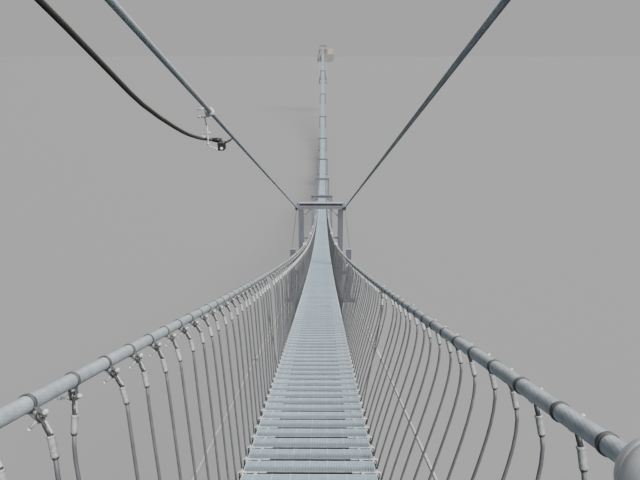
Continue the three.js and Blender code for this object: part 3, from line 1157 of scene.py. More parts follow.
class Workshop:
    """Makes the frame's finished pieces from geometry."""

    def __init__(self, placement: Placement) -> None:
        """Takes the model's place in the frame."""
        self.placement = placement
        self.triangles = 0

    def publish(
        self, name: str, geometry: Geometry, finishes: Sequence[Finish],
        replaces: Sequence[str] = (),
    ) -> bpy.types.Object:
        """Makes one piece, which rides on the root body.

        Args:
            name: the piece's name.
            geometry: its faces, at the real bridge's size.
            finishes: its materials, in the order that its faces number them.
            replaces: the CAD nodes that it stands for.

        Returns:
            The object.
        """
        mesh = bpy.data.meshes.new(name)
        points = self.placement.place(geometry.points)
        starts = np.concatenate([[0], np.cumsum(geometry.counts)[:-1]])
        mesh.vertices.add(len(points))
        mesh.vertices.foreach_set("co", points.astype(np.float32).ravel())
        mesh.loops.add(len(geometry.corners))
        mesh.loops.foreach_set("vertex_index", geometry.corners.astype(np.int32))
        mesh.polygons.add(len(geometry.counts))
        mesh.polygons.foreach_set("loop_start", starts.astype(np.int32))
        mesh.polygons.foreach_set("use_smooth", geometry.smooth)
        mesh.polygons.foreach_set("material_index", geometry.finish.astype(np.int32))
        layer = mesh.uv_layers.new(name="run")
        layer.uv.foreach_set("vector", geometry.run.astype(np.float32).ravel())
        tone = mesh.attributes.new("tone", "FLOAT", "FACE")
        tone.data.foreach_set("value", geometry.tone.astype(np.float32))
        mesh.update(calc_edges=True)
        if mesh.validate():
            log.warning("%s had faces that Blender mended", name)
        for finish in finishes:
            mesh.materials.append(finish.material())
        made = bpy.data.objects.new(name, mesh)
        bpy.context.scene.collection.objects.link(made)
        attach(made, "root")
        if replaces:
            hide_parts(*replaces)
        self.triangles += geometry.triangles
        log.info("piece %s: %d triangles", name, geometry.triangles)
        return made


def tones(count: int, seed: int) -> Array:
    """Tones from 0 to 1, the same in every run."""
    return np.random.default_rng(seed).random(count)


def frames_along(start: Point, end: Point, place: float) -> Array:
    """A frame on a line whose second axis runs along it and whose third is as upright as it can be.

    Args:
        start: where the line starts.
        end: where it ends.
        place: how far from its start the frame is.

    Returns:
        An array of one 3 by 4 matrix.
    """
    start, end = np.asarray(start, float), np.asarray(end, float)
    along = unit(end - start)
    across = unit(np.cross(along, Z_AXIS))
    return np.stack([across, along, np.cross(across, along), start + along * place], 1)[None]


def bays(name: str) -> list[str]:
    """The names of a CAD node in each bay."""
    return [f"{name}_{i}" for i in range(1, BRIDGE.bays + 1)]


@dataclass
class Treads:
    """The deck's grating treads: a ribbed back half with clips, a front half in painted shade, strips and
    nosings.
    """

    gap: float = 0.045
    bars: int = 45
    bar_half: float = 0.006
    strips: int = 7
    strip_pitch: float = 0.125
    plate: float = 0.005
    ribbed: float = 0.42
    shaded: float = 0.045
    rim: float = 0.0045
    nosings: tuple[tuple[float, float], ...] = ((0.292, 0.345), (0.35, 0.45))
    strip_station: float = 37.3

    @property
    def half(self) -> float:
        """Half of a tread's length along the bridge."""
        return (BRIDGE.tread_pitch - self.gap) / 2

    def far_template(self) -> Geometry:
        """One distant tread about its middle: across, along and up.

        Returns:
            The tread.
        """
        half, edge = self.half, BRIDGE.deck_half
        sketch = Sketch().using(2)
        # The near-black body under the top plate is painted shade, so the gaps between treads look dark.
        sketch.bar(0.0, edge - 0.015, (-half + 0.003, half - 0.003), (-BRIDGE.deck_depth, -self.plate))
        sketch.using(0).bar(0.0, edge, (-half, half), (-self.plate, 0.0)).using(1)
        for x in (-0.25, 0.0, 0.25):
            sketch.bar(x, 0.004, (0.0, half), (-0.003, 0.0015))
        for side in (-1, 1):
            sketch.box((side * 0.285, -half - 0.02, -0.005), (side * 0.445, -half + 0.004, 0.0015))
        return sketch.geometry()

    def near_template(self) -> Geometry:
        """One tread near the camera, with its fine bars, about its middle: across, along and up.

        Returns:
            The tread.
        """
        half, edge, rim = self.half, BRIDGE.deck_half, self.rim
        split = half - 2 * half * self.ribbed
        step = split - self.shaded
        sketch = Sketch().using(2)
        # The near-black body under the top is painted shade, so the gaps between treads look dark.
        sketch.bar(0.0, edge - 0.015, (-half + 0.004, half - 0.003), (-BRIDGE.deck_depth, -0.0055))
        sketch.using(0).bar(0.0, edge - 0.008, (split, half - 0.003), (-self.plate, -0.0015))
        # The front half is painted shade: its band, its bars and its near lip are in the darker shade zinc,
        # and the plate under its bars is in the near-black under zinc.
        sketch.using(3).bar(0.0, edge - 0.008, (step, split), (-self.plate, -0.0028))
        sketch.using(4).bar(0.0, edge - 0.008, (-half + 0.005, step), (-0.0052, -0.0042))
        for i in range(self.bars):
            x = (i - (self.bars - 1) / 2) * (2 * edge - 0.04) / (self.bars - 1)
            sketch.using(0).bar(x, self.bar_half, (split - 0.03, half - 0.004), (-rim, 0.0))
            sketch.using(3).bar(x, self.bar_half, (-half + 0.004, split - 0.03), (-rim, 0.0))
        sketch.bar(0.0, edge - 0.004, (-half, -half + 0.006), (-rim, 0.0006), 0.0008)
        sketch.using(1).bar(0.0, edge - 0.004, (half - 0.006, half), (-rim, 0.0006), 0.0008)
        for i in range(self.strips):
            x = (i - (self.strips - 1) / 2) * self.strip_pitch
            sketch.bar(x, 0.0045, (0.012, half + 0.002), (-0.003, 0.0018), 0.0008)
        for side in (-1, 1):
            sketch.bar(side * (edge - 0.0045), 0.0045, (-half - 0.019, half), (-0.012, 0.002), 0.0015)
            for low, high in self.nosings:
                sketch.box((side * low, -half - 0.017, -rim), (side * high, -half + 0.001, 0.0015), 0.001)
            ends = (-half - self.gap - 0.004, -half - 0.012)
            sketch.bar(side * 0.365, 0.01, ends, (-0.006, 0.0008), 0.001)
            # A near-black box under each nosing: painted shade.
            corner, opposite = (side * 0.285, -half - 0.021, -0.02), (side * 0.452, -half - 0.017, -0.003)
            sketch.using(2).box(corner, opposite).using(1)
        return sketch.geometry()

    def cross_strip(self) -> Geometry:
        """A flat strip across the deck, over one tread."""
        sketch = Sketch().using(1).bar(0.0, 0.44, (-0.11, 0.11), (0.0022, 0.014), 0.002)
        return sketch.bolts((0.0, 0.0, 0.014), (0.4, 0.07, 0.0), (0.0, 0.0, 0.006), 0.012).geometry()

    def build(self, shop: Workshop) -> None:
        """Makes the near treads and the others.

        Args:
            shop: where the pieces are made.
        """
        gaps = BRIDGE.gaps()
        middle = (gaps[:-1] + gaps[1:]) / 2
        near = middle < BRIDGE.near_detail
        finishes = [PALETTE.tread, PALETTE.clip, PALETTE.dark, PALETTE.shade, PALETTE.under]
        # Near treads get a tone that rises with distance from the near end, so the closest ones are painted
        # darker: painted shade by distance.
        tone = tones(len(middle), 11) * 0.3
        tone += np.where(near, np.clip((middle - 4.2) / 5.0, 0, 1) * 0.78, 0.12)
        frames = BRIDGE.deck_frames(middle)
        treads = self.near_template().placed(frames[near], tone[near])
        shop.publish("deck_treads_near", treads, finishes)
        strips = BRIDGE.deck_frames(np.array([end.along(self.strip_station) for end in End]))
        treads = [self.far_template().placed(frames[~near], tone[~near]), self.cross_strip().placed(strips)]
        shop.publish("deck_treads", Geometry.merged(treads), finishes[:3], bays("deck_bay"))


@dataclass
class DeckEdges:
    """The carrying ropes under the deck's edges, and the white clamps that hold treads and hangers."""

    clear: float = 0.03

    ARCH: ClassVar[Profile] = (
        (-0.029, -0.006), (-0.021, 0.0015), (0.0, 0.004), (0.021, 0.0015), (0.029, -0.006), (0.032, 0.0005),
        (0.024, 0.0085), (0.008, 0.0125), (-0.008, 0.0125), (-0.024, 0.0085), (-0.032, 0.0005),
    )
    CAP: ClassVar[Profile] = ((0.0, 0.0), (0.0, 0.0052), (0.02, 0.0045), (0.024, 0.003), (0.024, 0.0))

    def clamp(self, full: bool) -> Geometry:
        """One clamp on the right-hand carrying rope, about the deck's middle at a gap.

        Args:
            full: whether it is drawn in full, for clamps that the camera is close to.

        Returns:
            The clamp.
        """
        x = BRIDGE.foot_x
        sketch = Sketch()
        if not full:
            sketch.box((x - 0.03, -0.012, -0.006), (x + 0.028, 0.012, 0.012))
            return sketch.rod((x, 0, 0.008), (x, 0, 0.035), 0.006, 5).geometry()
        radius = BRIDGE.carrier_radius
        centre = (BRIDGE.carrier_x, 0.0, -BRIDGE.carrier_drop)
        sleeve = [(-0.011, radius), (-0.011, radius + 0.004), (0.011, radius + 0.004), (0.011, radius)]
        sketch.turned(sleeve, centre, (centre[0], 1.0, centre[2]), 14)
        sketch.plate(self.ARCH, (x, 0, 0), X_AXIS, Z_AXIS, 0.017, 0.0015)
        sketch.rod((x, 0, 0.011), (x, 0, 0.018), 0.0085, 6)
        sketch.turned(self.CAP, (x, 0, 0.016), (x, 0, 1), 10).using(1)
        # The bolts and plates under the clamp are in the near-black steel: painted shadow under the clamp.
        for bolt in (x - 0.02, x + 0.014):
            sketch.rod((bolt, 0, 0.002), (bolt, 0, -0.03), 0.006, 8)
        sketch.box((x - 0.026, -0.013, -0.001), (x - 0.008, -0.007, 0.002), 0.0005)
        return sketch.box((x - 0.026, -0.011, -0.036), (x + 0.02, 0.011, -0.03), 0.001).geometry()

    def build(self, shop: Workshop) -> None:
        """Makes both sides' ropes and clamps.

        Args:
            shop: where the pieces are made.
        """
        gaps = BRIDGE.gaps()
        near = gaps < BRIDGE.near_fittings
        fine, coarse = np.linspace(self.clear, 30, 90), np.linspace(30.5, BRIDGE.span - self.clear, 330)
        stations = np.concatenate([fine, coarse])
        level = BRIDGE.deck(stations) - BRIDGE.carrier_drop
        for side in Side:
            label = side.label
            path = np.stack([np.full_like(stations, side.value * BRIDGE.carrier_x), stations, level], 1)
            carrier = rope(path, BRIDGE.carrier_radius, 12)
            names = bays(f"hangers_{label}_bay")
            shop.publish(f"carrying_rope_{label}", carrier, [PALETTE.carrier], names)
            tone = tones(len(gaps), 21 + side.value)
            clamps = near_and_far(self.clamp, side.faced(BRIDGE.deck_frames(gaps)), near, tone)
            shop.publish(f"edge_clamps_{label}", clamps, [PALETTE.bright, PALETTE.dark])


@dataclass
class HandrailRopes:
    """The two thick handrail ropes, their ball fittings, and the sockets at the anchor walls."""

    ball_station: float = 4.19
    ball_radius: float = 0.08
    seam: float = 0.0012
    splices: tuple[float, ...] = (22.5, 31.5, 38.4, 49.0)

    PLATE: ClassVar[Profile] = ((-0.17, -0.2), (0.17, -0.2), (0.17, 0.2), (-0.17, 0.2))
    CONE: ClassVar[Profile] = (
        (0.0, 0.026), (0.0, 0.075), (0.03, 0.075), (0.035, 0.06), (0.2, 0.042), (0.235, 0.04), (0.24, 0.03),
        (0.24, 0.026),
    )

    def path(self, side: Side) -> Array:
        """The rope's centreline from one anchor wall to the other.

        Args:
            side: which rope.

        Returns:
            Points on it, which are closer together near the camera.
        """
        span = BRIDGE.span
        runs = ((0, 30, 200), (30.4, span - 16, 300), (span - 15.8, span, 50))
        middle = BRIDGE.rail_points(side, np.concatenate([np.linspace(*run) for run in runs]))
        back = BRIDGE.wall_front - 0.012
        ends = []
        for station, way in ((0.0, -1), (span, 1)):
            end = BRIDGE.rail_points(side, np.array([station]))[0]
            ends.append(end + way * back * np.array([0, 1, float(BRIDGE.slope(station))]))
        return np.concatenate([ends[:1], middle, ends[1:]])

    def ball(self) -> Geometry:
        """A cast ball about the rope, with a fine seam round its middle.

        Returns:
            The ball.
        """
        radius = self.ball_radius
        start = math.asin((BRIDGE.rail_radius + 0.001) / radius)
        angles = [start + (math.pi - 2 * start) * i / 16 for i in range(17)]
        profile = [(-math.cos(angle) * radius, math.sin(angle) * radius) for angle in angles]
        profile[8:9] = [(-self.seam, radius), (0.0, radius - 0.0015), (self.seam, radius)]
        return Sketch().turned(profile, ORIGIN, Y_AXIS, 40).geometry()

    def splice(self) -> Geometry:
        """A clamp about the rope, with a lug on its outer side.

        Returns:
            The clamp.
        """
        radius = BRIDGE.rail_radius
        sleeve = mirrored([(0.06, radius), (0.06, radius + 0.018), (0.052, radius + 0.023)])
        sketch = Sketch().turned(sleeve, ORIGIN, Y_AXIS, 20)
        sketch.box((radius + 0.01, -0.055, -0.036), (radius + 0.052, 0.055, 0.036), 0.004)
        sketch.bolts((radius + 0.03, 0.0, -0.05), (0.0, 0.028, 0.0), (0.0, 0.0, 0.1), 0.009, 8)
        return sketch.geometry()

    def socket(self) -> Geometry:
        """A socket and anchor plate: its base is at the origin, and the rope leaves along the second axis.

        Returns:
            The socket.
        """
        corners = (0.12, 0.0, 0.15)
        sketch = Sketch().plate(self.PLATE, (0, 0.012, 0), X_AXIS, Z_AXIS, 0.024, 0.003)
        sketch.using(1).bolts((0.0, 0.024, 0.0), corners, (0.0, 0.021, 0.0), 0.022)
        sketch.bolts((0.0, 0.045, 0.0), corners, (0.0, 0.025, 0.0), 0.012, 10)
        sketch.using(0).turned(self.CONE, (0, 0.02, 0), Y_AXIS, 24)
        return sketch.using(1).rod((0, 0.024, 0), (0, 0.05, 0), 0.09, 6).geometry()

    def anchors(self, side: Side) -> Geometry:
        """The sockets at both ends of a rope.

        Args:
            side: which rope.

        Returns:
            The sockets.
        """
        made = []
        for end in End:
            edge, station = end.along(0), end.along(-BRIDGE.wall_front)
            rise = float(BRIDGE.slope(edge)) * (station - edge)
            place = (side.value * BRIDGE.rail_half_end, station, BRIDGE.rail_height + rise)
            frame = np.column_stack([np.diag([end.way, end.way, 1]), place])
            made.append(self.socket().placed(frame[None]))
        return Geometry.merged(made)

    def build(self, shop: Workshop) -> None:
        """Makes both sides.

        Args:
            shop: where the pieces are made.
        """
        balls = np.array([end.along(self.ball_station) for end in End])
        splices = np.array([end.along(station) for end in End for station in self.splices])
        for side in Side:
            label = side.label
            rail = rope(self.path(side), BRIDGE.rail_radius, 20)
            shop.publish(f"handrail_{label}", rail, [PALETTE.rail], [f"handrail_rope_{label}"])
            made = self.ball().placed(BRIDGE.rail_frames(side, balls))
            shop.publish(f"rail_balls_{label}", made, [PALETTE.ball])
            made = self.splice().placed(side.faced(BRIDGE.rail_frames(side, splices)))
            shop.publish(f"rail_splices_{label}", made, [PALETTE.bright])
            finishes = [PALETTE.frame, PALETTE.bright]
            shop.publish(f"rail_sockets_{label}", self.anchors(side), finishes)


@dataclass
class Hangers:
    """The hangers: a strap clamp on the handrail, a thimble, a ferrule, and a thin rope down to the deck.

    They stand square to the deck and lean to the walker's right at the top, as the slack ropes do.
    """

    bolt_drop: float = 0.05
    thimble: float = 0.056
    ferrule: float = 0.057
    ear_lean: float = 50.0
    thimble_lean: float = 30.0
    ferrule_lean: float = 14.0
    rope_lean: float = 9.0
    rope_radius: float = 0.0066
    slack: float = 0.16
    lag_from: float = 4.39

    TAIL: ClassVar[dict[Side, float]] = {Side.LEFT: 0.046, Side.RIGHT: 0.0}
    LAG: ClassVar[dict[Side, tuple[float, float]]] = {Side.LEFT: (0.065, 0.45), Side.RIGHT: (0.122, 0.8)}
    NUDGES: ClassVar[dict[Side, dict[int, float]]] = {Side.LEFT: {18: 8.0}, Side.RIGHT: {18: 12.0, 19: 14.0}}
    STRAIGHT: ClassVar[dict[Side, tuple[int, ...]]] = {Side.LEFT: (19, 41, 77), Side.RIGHT: (34, 60)}

    def lag(self, side: Side, stations: Array) -> Array:
        """How far short of square the hangers' tops are, near the bridge's near end."""
        most, reach = self.LAG[side]
        return most * np.exp(-np.maximum(stations - self.lag_from, 0.0) / reach)

    def strap(self, full: bool, tail: float) -> Geometry:
        """The strap clamp about the handrail rope's centre: level, along and up.

        Args:
            full: whether it is drawn in full, for clamps that the camera is close to.
            tail: how far its bolt reaches out on the left.

        Returns:
            The clamp.
        """
        radius, z = BRIDGE.rail_radius, -self.bolt_drop
        sketch = Sketch()
        if not full:
            sketch.turned([(-0.008, radius), (0.0, radius + 0.003), (0.008, radius)], ORIGIN, Y_AXIS, 6)
            sketch.box((-0.008, -0.008, z - 0.008), (0.008, 0.008, -radius))
            sketch.using(1).box((-0.026, -0.006, z - 0.006), (0.022, 0.006, z + 0.006))
            return sketch.geometry()
        ring = mirrored([(0.0062, radius - 0.001), (0.0062, radius + 0.0025), (0.0048, radius + 0.0035)])
        sketch.turned(ring, ORIGIN, Y_AXIS, 24).using(2)
        # Near-black bands at the strap's two edges, where it meets the rope: painted shade in the crease.
        for y in (-0.0075, 0.0075):
            band = mirrored([(0.0012, radius - 0.001), (0.0012, radius + 0.0018)])
            sketch.turned(band, (0, y, 0), (0, y + 1, 0), 24)
        sketch.using(0)
        ear = mirrored([(0.0085, -radius + 0.003), (0.0085, z - 0.006), (0.005, z - 0.011)])
        for x in (-0.0105, 0.0105):
            sketch.plate(ear, (x, 0, 0), Y_AXIS, Z_AXIS, 0.0035, 0.0005)
        sketch.rod((0.0122, 0, z), (0.0145, 0, z), 0.0095, 14)
        sketch.using(1).rod((0.0145, 0, z), (0.0215, 0, z), 0.0068, 6)
        sketch.rod((0.0, 0, z), (0.026 if tail else 0.035, 0, z), 0.0042, 8)
        sketch.using(1 if tail else 0).rod((-0.0145, 0, z), (-0.0122, 0, z), 0.0095, 14)
        sketch.rod((-0.0205, 0, z), (-0.0145, 0, z), 0.0082, 6)
        if tail:
            sketch.rod((-tail, 0, z), (0.0, 0, z), 0.0042, 8).ball((-tail, 0, z), 0.006, 8, 6)
        return sketch.geometry()

    def loop(self, full: bool) -> Geometry:
        """The thimble, with the bolt at the origin and the ferrule below it.

        Args:
            full: whether it is drawn in full.

        Returns:
            The thimble.
        """
        length, radius = self.thimble, 0.0115
        sketch = Sketch()
        if not full:
            return sketch.rod((0, 0, 0.004), (0, 0, -length - 0.004), 0.0075, 4).geometry()
        path = []
        for i in range(21):
            angle = math.pi * (1.5 + 2 * i / 20)
            pull = max(0.0, -math.sin(angle))
            drop = pull**3 * (length - 0.014)
            path.append((0.0, math.cos(angle) * radius * (1 - pull * 0.85), math.sin(angle) * radius - drop))
        around = rope(np.array(path), 0.0045, 8, X_AXIS)
        sketch.rod((0, 0, -0.022), (0, 0, -length - 0.004), 0.0075, 10)
        # A thin bright zinc strip on the thimble's right side, toward the key light: a painted highlight.
        sketch.using(1).box((0.006, -0.0045, -length + 0.004), (0.0078, 0.0045, -0.014), 0.0006)
        return Geometry.merged([sketch.geometry(), around])

    def sleeve(self, full: bool) -> Geometry:
        """The ferrule, which hangs down from the origin.

        Args:
            full: whether it is drawn in full.

        Returns:
            The ferrule.
        """
        length = self.ferrule
        sketch = Sketch()
        if not full:
            return sketch.rod(ORIGIN, (0, 0, -length), 0.0112, 6).geometry()
        profile = [(0.0, 0.006), (0.0, 0.0118), (0.003, 0.0128), (0.0065, 0.0108), (0.01, 0.0104),
                   (length - 0.009, 0.0104), (length - 0.003, 0.0112), (length, 0.0104), (length, 0.006)]
        sketch.turned(profile, ORIGIN, (0, 0, -1), 16).using(2)
        for y in (-0.0108, 0.0108):
            sketch.ball((0, y, -0.002), 0.0028, 8, 6)
        return sketch.using(1).rod((0, 0, -length), (0, 0, -length - 0.005), 0.0092, 12).geometry()

    def hung(self, origin: Array, down: Array, along: Array) -> Array:
        """Frames whose third axis points up a hanger."""
        across = unit(np.cross(along, -down))
        return np.stack([across, np.cross(-down, across), -down, origin], 2)

    def slack_ropes(self, top: Array, leaving: Array, foot: Array, near: Array) -> Geometry:
        """The thin ropes from the ferrules to the deck's edge.

        Args:
            top: where they leave the ferrules.
            leaving: the directions that they leave in.
            foot: where they end.
            near: which of them are near the camera.

        Returns:
            The ropes, the near ones with more points and sides.
        """
        made = []
        for chosen, steps, sides in ((near, 14, 8), (~near, 6, 4)):
            t = np.linspace(0, 1, steps)[None, :, None]
            a, d = top[chosen][:, None], foot[chosen][:, None]
            b = a + leaving[chosen][:, None] * self.slack
            c = d + (a - d) * 0.45
            curve = a * (1 - t) ** 3 + 3 * b * t * (1 - t) ** 2 + 3 * c * t**2 * (1 - t) + d * t**3
            made.append(ropes(curve, self.rope_radius, sides, Y_AXIS))
        return Geometry.merged(made)

    def build_side(self, shop: Workshop, side: Side, gaps: Array) -> None:
        """Makes one side.

        Args:
            shop: where the pieces are made.
            side: which side.
            gaps: the gaps between treads that have a hanger.
        """
        near = gaps < BRIDGE.near_fittings
        rng = np.random.default_rng(40 + side.value)
        rails = BRIDGE.rail_frames(side, BRIDGE.above(gaps) - self.lag(side, gaps))
        across, along, down = rails[:, :, 0], rails[:, :, 1], -rails[:, :, 2]
        ear = self.ear_lean + rng.normal(0, 4, len(gaps))
        thimble = self.thimble_lean - side.value * 3 + rng.normal(0, 3, len(gaps))
        sleeve = self.ferrule_lean + rng.normal(0, 3, len(gaps))
        leave = self.rope_lean + rng.normal(0, 2, len(gaps))
        for number, less in self.NUDGES[side].items():
            thimble[number] -= less
            sleeve[number] -= less * 0.6
        for number in self.STRAIGHT[side]:
            ear[number], thimble[number], sleeve[number], leave[number] = 8.0, 4.0, -2.0, -3.0

        def leaning(degrees: Array) -> Array:
            """Directions that lean to the right of straight down to the deck."""
            angle = np.radians(degrees)[:, None]
            return across * np.sin(angle) + down * np.cos(angle)

        straps = np.stack([-leaning(ear - 90), along, -leaning(ear), rails[:, :, 3]], 2)
        bolt = rails[:, :, 3] + leaning(ear) * self.bolt_drop
        start = bolt + leaning(thimble) * self.thimble
        end = start + leaning(sleeve) * self.ferrule
        eyes, sleeves = self.hung(bolt, leaning(thimble), along), self.hung(start, leaning(sleeve), along)
        tone = tones(len(gaps), 31 + side.value)
        # The ferrules' tone rises with distance from the near end, so the farther ferrules are painted
        # near-white: painted highlight.
        pale = np.clip((gaps - 4.6) / 5.0, 0, 1) * 0.9 + tone * 0.1
        made = near_and_far(lambda full: self.strap(full, self.TAIL[side]), straps, near, tone)
        finishes = [PALETTE.ring, PALETTE.bright, PALETTE.band]
        shop.publish(f"rail_straps_{side.label}", made, finishes)
        made = near_and_far(self.loop, eyes, near, tone)
        shop.publish(f"hanger_thimbles_{side.label}", made, [PALETTE.thimble, PALETTE.bright])
        made = near_and_far(self.sleeve, sleeves, near, pale)
        finishes = [PALETTE.ferrule, PALETTE.thimble, PALETTE.bright]
        shop.publish(f"hanger_ferrules_{side.label}", made, finishes)
        deck = BRIDGE.deck_frames(gaps)
        foot = deck[:, :, 3] + deck[:, :, 2] * 0.03
        foot[:, 0] = side.value * BRIDGE.foot_x
        made = self.slack_ropes(end, leaning(leave), foot, near)
        shop.publish(f"hanger_ropes_{side.label}", made, [PALETTE.wire])

    def build(self, shop: Workshop) -> None:
        """Makes both sides.

        Args:
            shop: where the pieces are made.
        """
        gaps = BRIDGE.gaps()
        above = BRIDGE.above(gaps)
        for side in Side:
            self.build_side(shop, side, gaps[(above > 0.3) & (above < BRIDGE.span - 0.15)])


@dataclass(frozen=True)
class StayLines:
    """Where the overhead and lower stays run, as in the CAD source."""

    top_x: float = 1.175
    end_height: float = 3.05
    end_back: float = 0.04
    lug_x: float = 1.0
    lug_height: float = 2.535
    lug_reach: float = 0.09
    foot: tuple[float, float] = (1.27, -1.19)
    outer_x: float = 1.5
    inner_x: float = 1.05
    drop: float = 1.64
    face: float = 0.08
    fork: float = 15.2

    def overhead(self, side: Side, end: End) -> tuple[Array, Array]:
        """An overhead stay.

        Args:
            side: which side it is on.
            end: which end of the bridge it is at.

        Returns:
            Its end at the end frame, and its end at the portal.
        """
        level = float(BRIDGE.deck(end.along(BRIDGE.bay))) + self.lug_height
        return (
            np.array([side.value * self.top_x, end.along(-self.end_back), self.end_height]),
            np.array([side.value * self.lug_x, end.along(BRIDGE.bay - self.lug_reach), level]),
        )

    def lower(self, side: Side, end: End) -> tuple[Array, Array, Array, Array]:
        """A pair of lower stays.

        Args:
            side: which side it is on.
            end: which end of the bridge it is at.

        Returns:
            Its foot, the fork where the two part, its outer end and its inner end.
        """
        level = float(BRIDGE.deck(end.along(BRIDGE.bay))) - self.drop
        reach = BRIDGE.bay - self.face
        foot = np.array([side.value * self.foot[0], end.along(0), self.foot[1]])
        outer = np.array([side.value * self.outer_x, end.along(reach), level])
        inner = np.array([side.value * self.inner_x, end.along(reach), level])
        return foot, foot + (outer - foot) * self.fork / reach, outer, inner


STAYS = StayLines()


@dataclass
class Stays:
    """The overhead and lower stays with their sockets, turnbuckles and fork clamps."""

    radius: float = 0.024
    lower_radius: float = 0.02
    pin: float = 0.03

    FORK: ClassVar[Profile] = (
        (-0.03, -0.034), (0.085, -0.034), (0.1, -0.02), (0.1, 0.02), (0.085, 0.034), (-0.03, 0.034),
    )

    def socket(self, radius: float) -> Geometry:
        """A fork socket at a rope's end: the pin is at the origin and the rope leaves along the second axis.

        Args:
            radius: the rope's radius.

        Returns:
            The socket.
        """
        profile = [(0.07, 0.0), (0.07, radius * 1.5), (0.1, radius * 2.0), (0.2, radius * 1.9),
                   (0.3, radius * 1.35), (0.32, radius * 1.3), (0.32, radius)]
        sketch = Sketch().turned(profile, ORIGIN, Y_AXIS, 18)
        for x in (-radius * 1.15, radius * 1.15):
            sketch.plate(self.FORK, (x, 0, 0), Y_AXIS, Z_AXIS, 0.014, 0.002)
        sketch.using(1).rod((-radius * 2, 0, 0), (radius * 2, 0, 0), 0.016, 14)
        sketch.rod((radius * 1.55, 0, 0), (radius * 2.1, 0, 0), 0.026, 6)
        return sketch.rod((-radius * 2.1, 0, 0), (-radius * 1.55, 0, 0), 0.026, 6).geometry()

    def fork_clamp(self) -> Geometry:
        """The clamp where the two lower stays part, about the outer stay.

        Returns:
            The clamp.
        """
        radius = self.lower_radius
        corners = (radius * 1.5, 0.035, 0.0)
        sketch = Sketch()
        for way in (-1, 1):
            sketch.bar(0.0, radius * 1.9, (-0.06, 0.06), (way * radius * 1.5, way * 0.001), 0.004, 2)
        sketch.using(1).bolts((0.0, 0.0, -radius * 1.8), corners, (0.0, 0.0, radius * 3.6), 0.006, 8)
        return sketch.bolts((0.0, 0.0, radius * 1.45), corners, (0.0, 0.0, radius * 0.4), 0.011).geometry()

    def line(self, start: Array, end: Array, radius: float, clear: float) -> Geometry:
        """A straight rope that stops short of both ends."""
        steps = np.linspace(clear, float(np.linalg.norm(end - start)) - clear, 12)
        return rope(start + unit(end - start) * steps[:, None], radius, 16)

    def build(self, shop: Workshop) -> None:
        """Makes all eight.

        Args:
            shop: where the pieces are made.
        """
        small = self.lower_radius
        for side, end in product(Side, End):
            label = f"{end.value}_{side.label}"
            top, lug = STAYS.overhead(side, end)
            foot, fork, outer, inner = STAYS.lower(side, end)
            stay = self.line(top, lug, self.radius, 0.05)
            shop.publish(f"stay_{label}", stay, [PALETTE.stay], [f"overhead_stay_{label}"])
            lower = [self.line(foot, outer, small, 0.05), self.line(fork, inner, small * 0.9, 0.02)]
            name = f"lower_stay_{label}"
            shop.publish(name, Geometry.merged(lower), [PALETTE.low_stay], [f"lower_stays_{label}"])
            ends = ((top, lug, self.radius), (lug, top, self.radius), (foot, outer, small),
                    (outer, foot, small), (inner, fork, small))
            fittings = [
                self.socket(radius).placed(frames_along(held, away, self.pin)) for held, away, radius in ends
            ]
            reach = float(np.linalg.norm(fork - foot))
            fittings.append(self.fork_clamp().placed(frames_along(foot, outer, reach)))
            finishes = [PALETTE.strap, PALETTE.bright]
            shop.publish(f"stay_sockets_{label}", Geometry.merged(fittings), finishes)


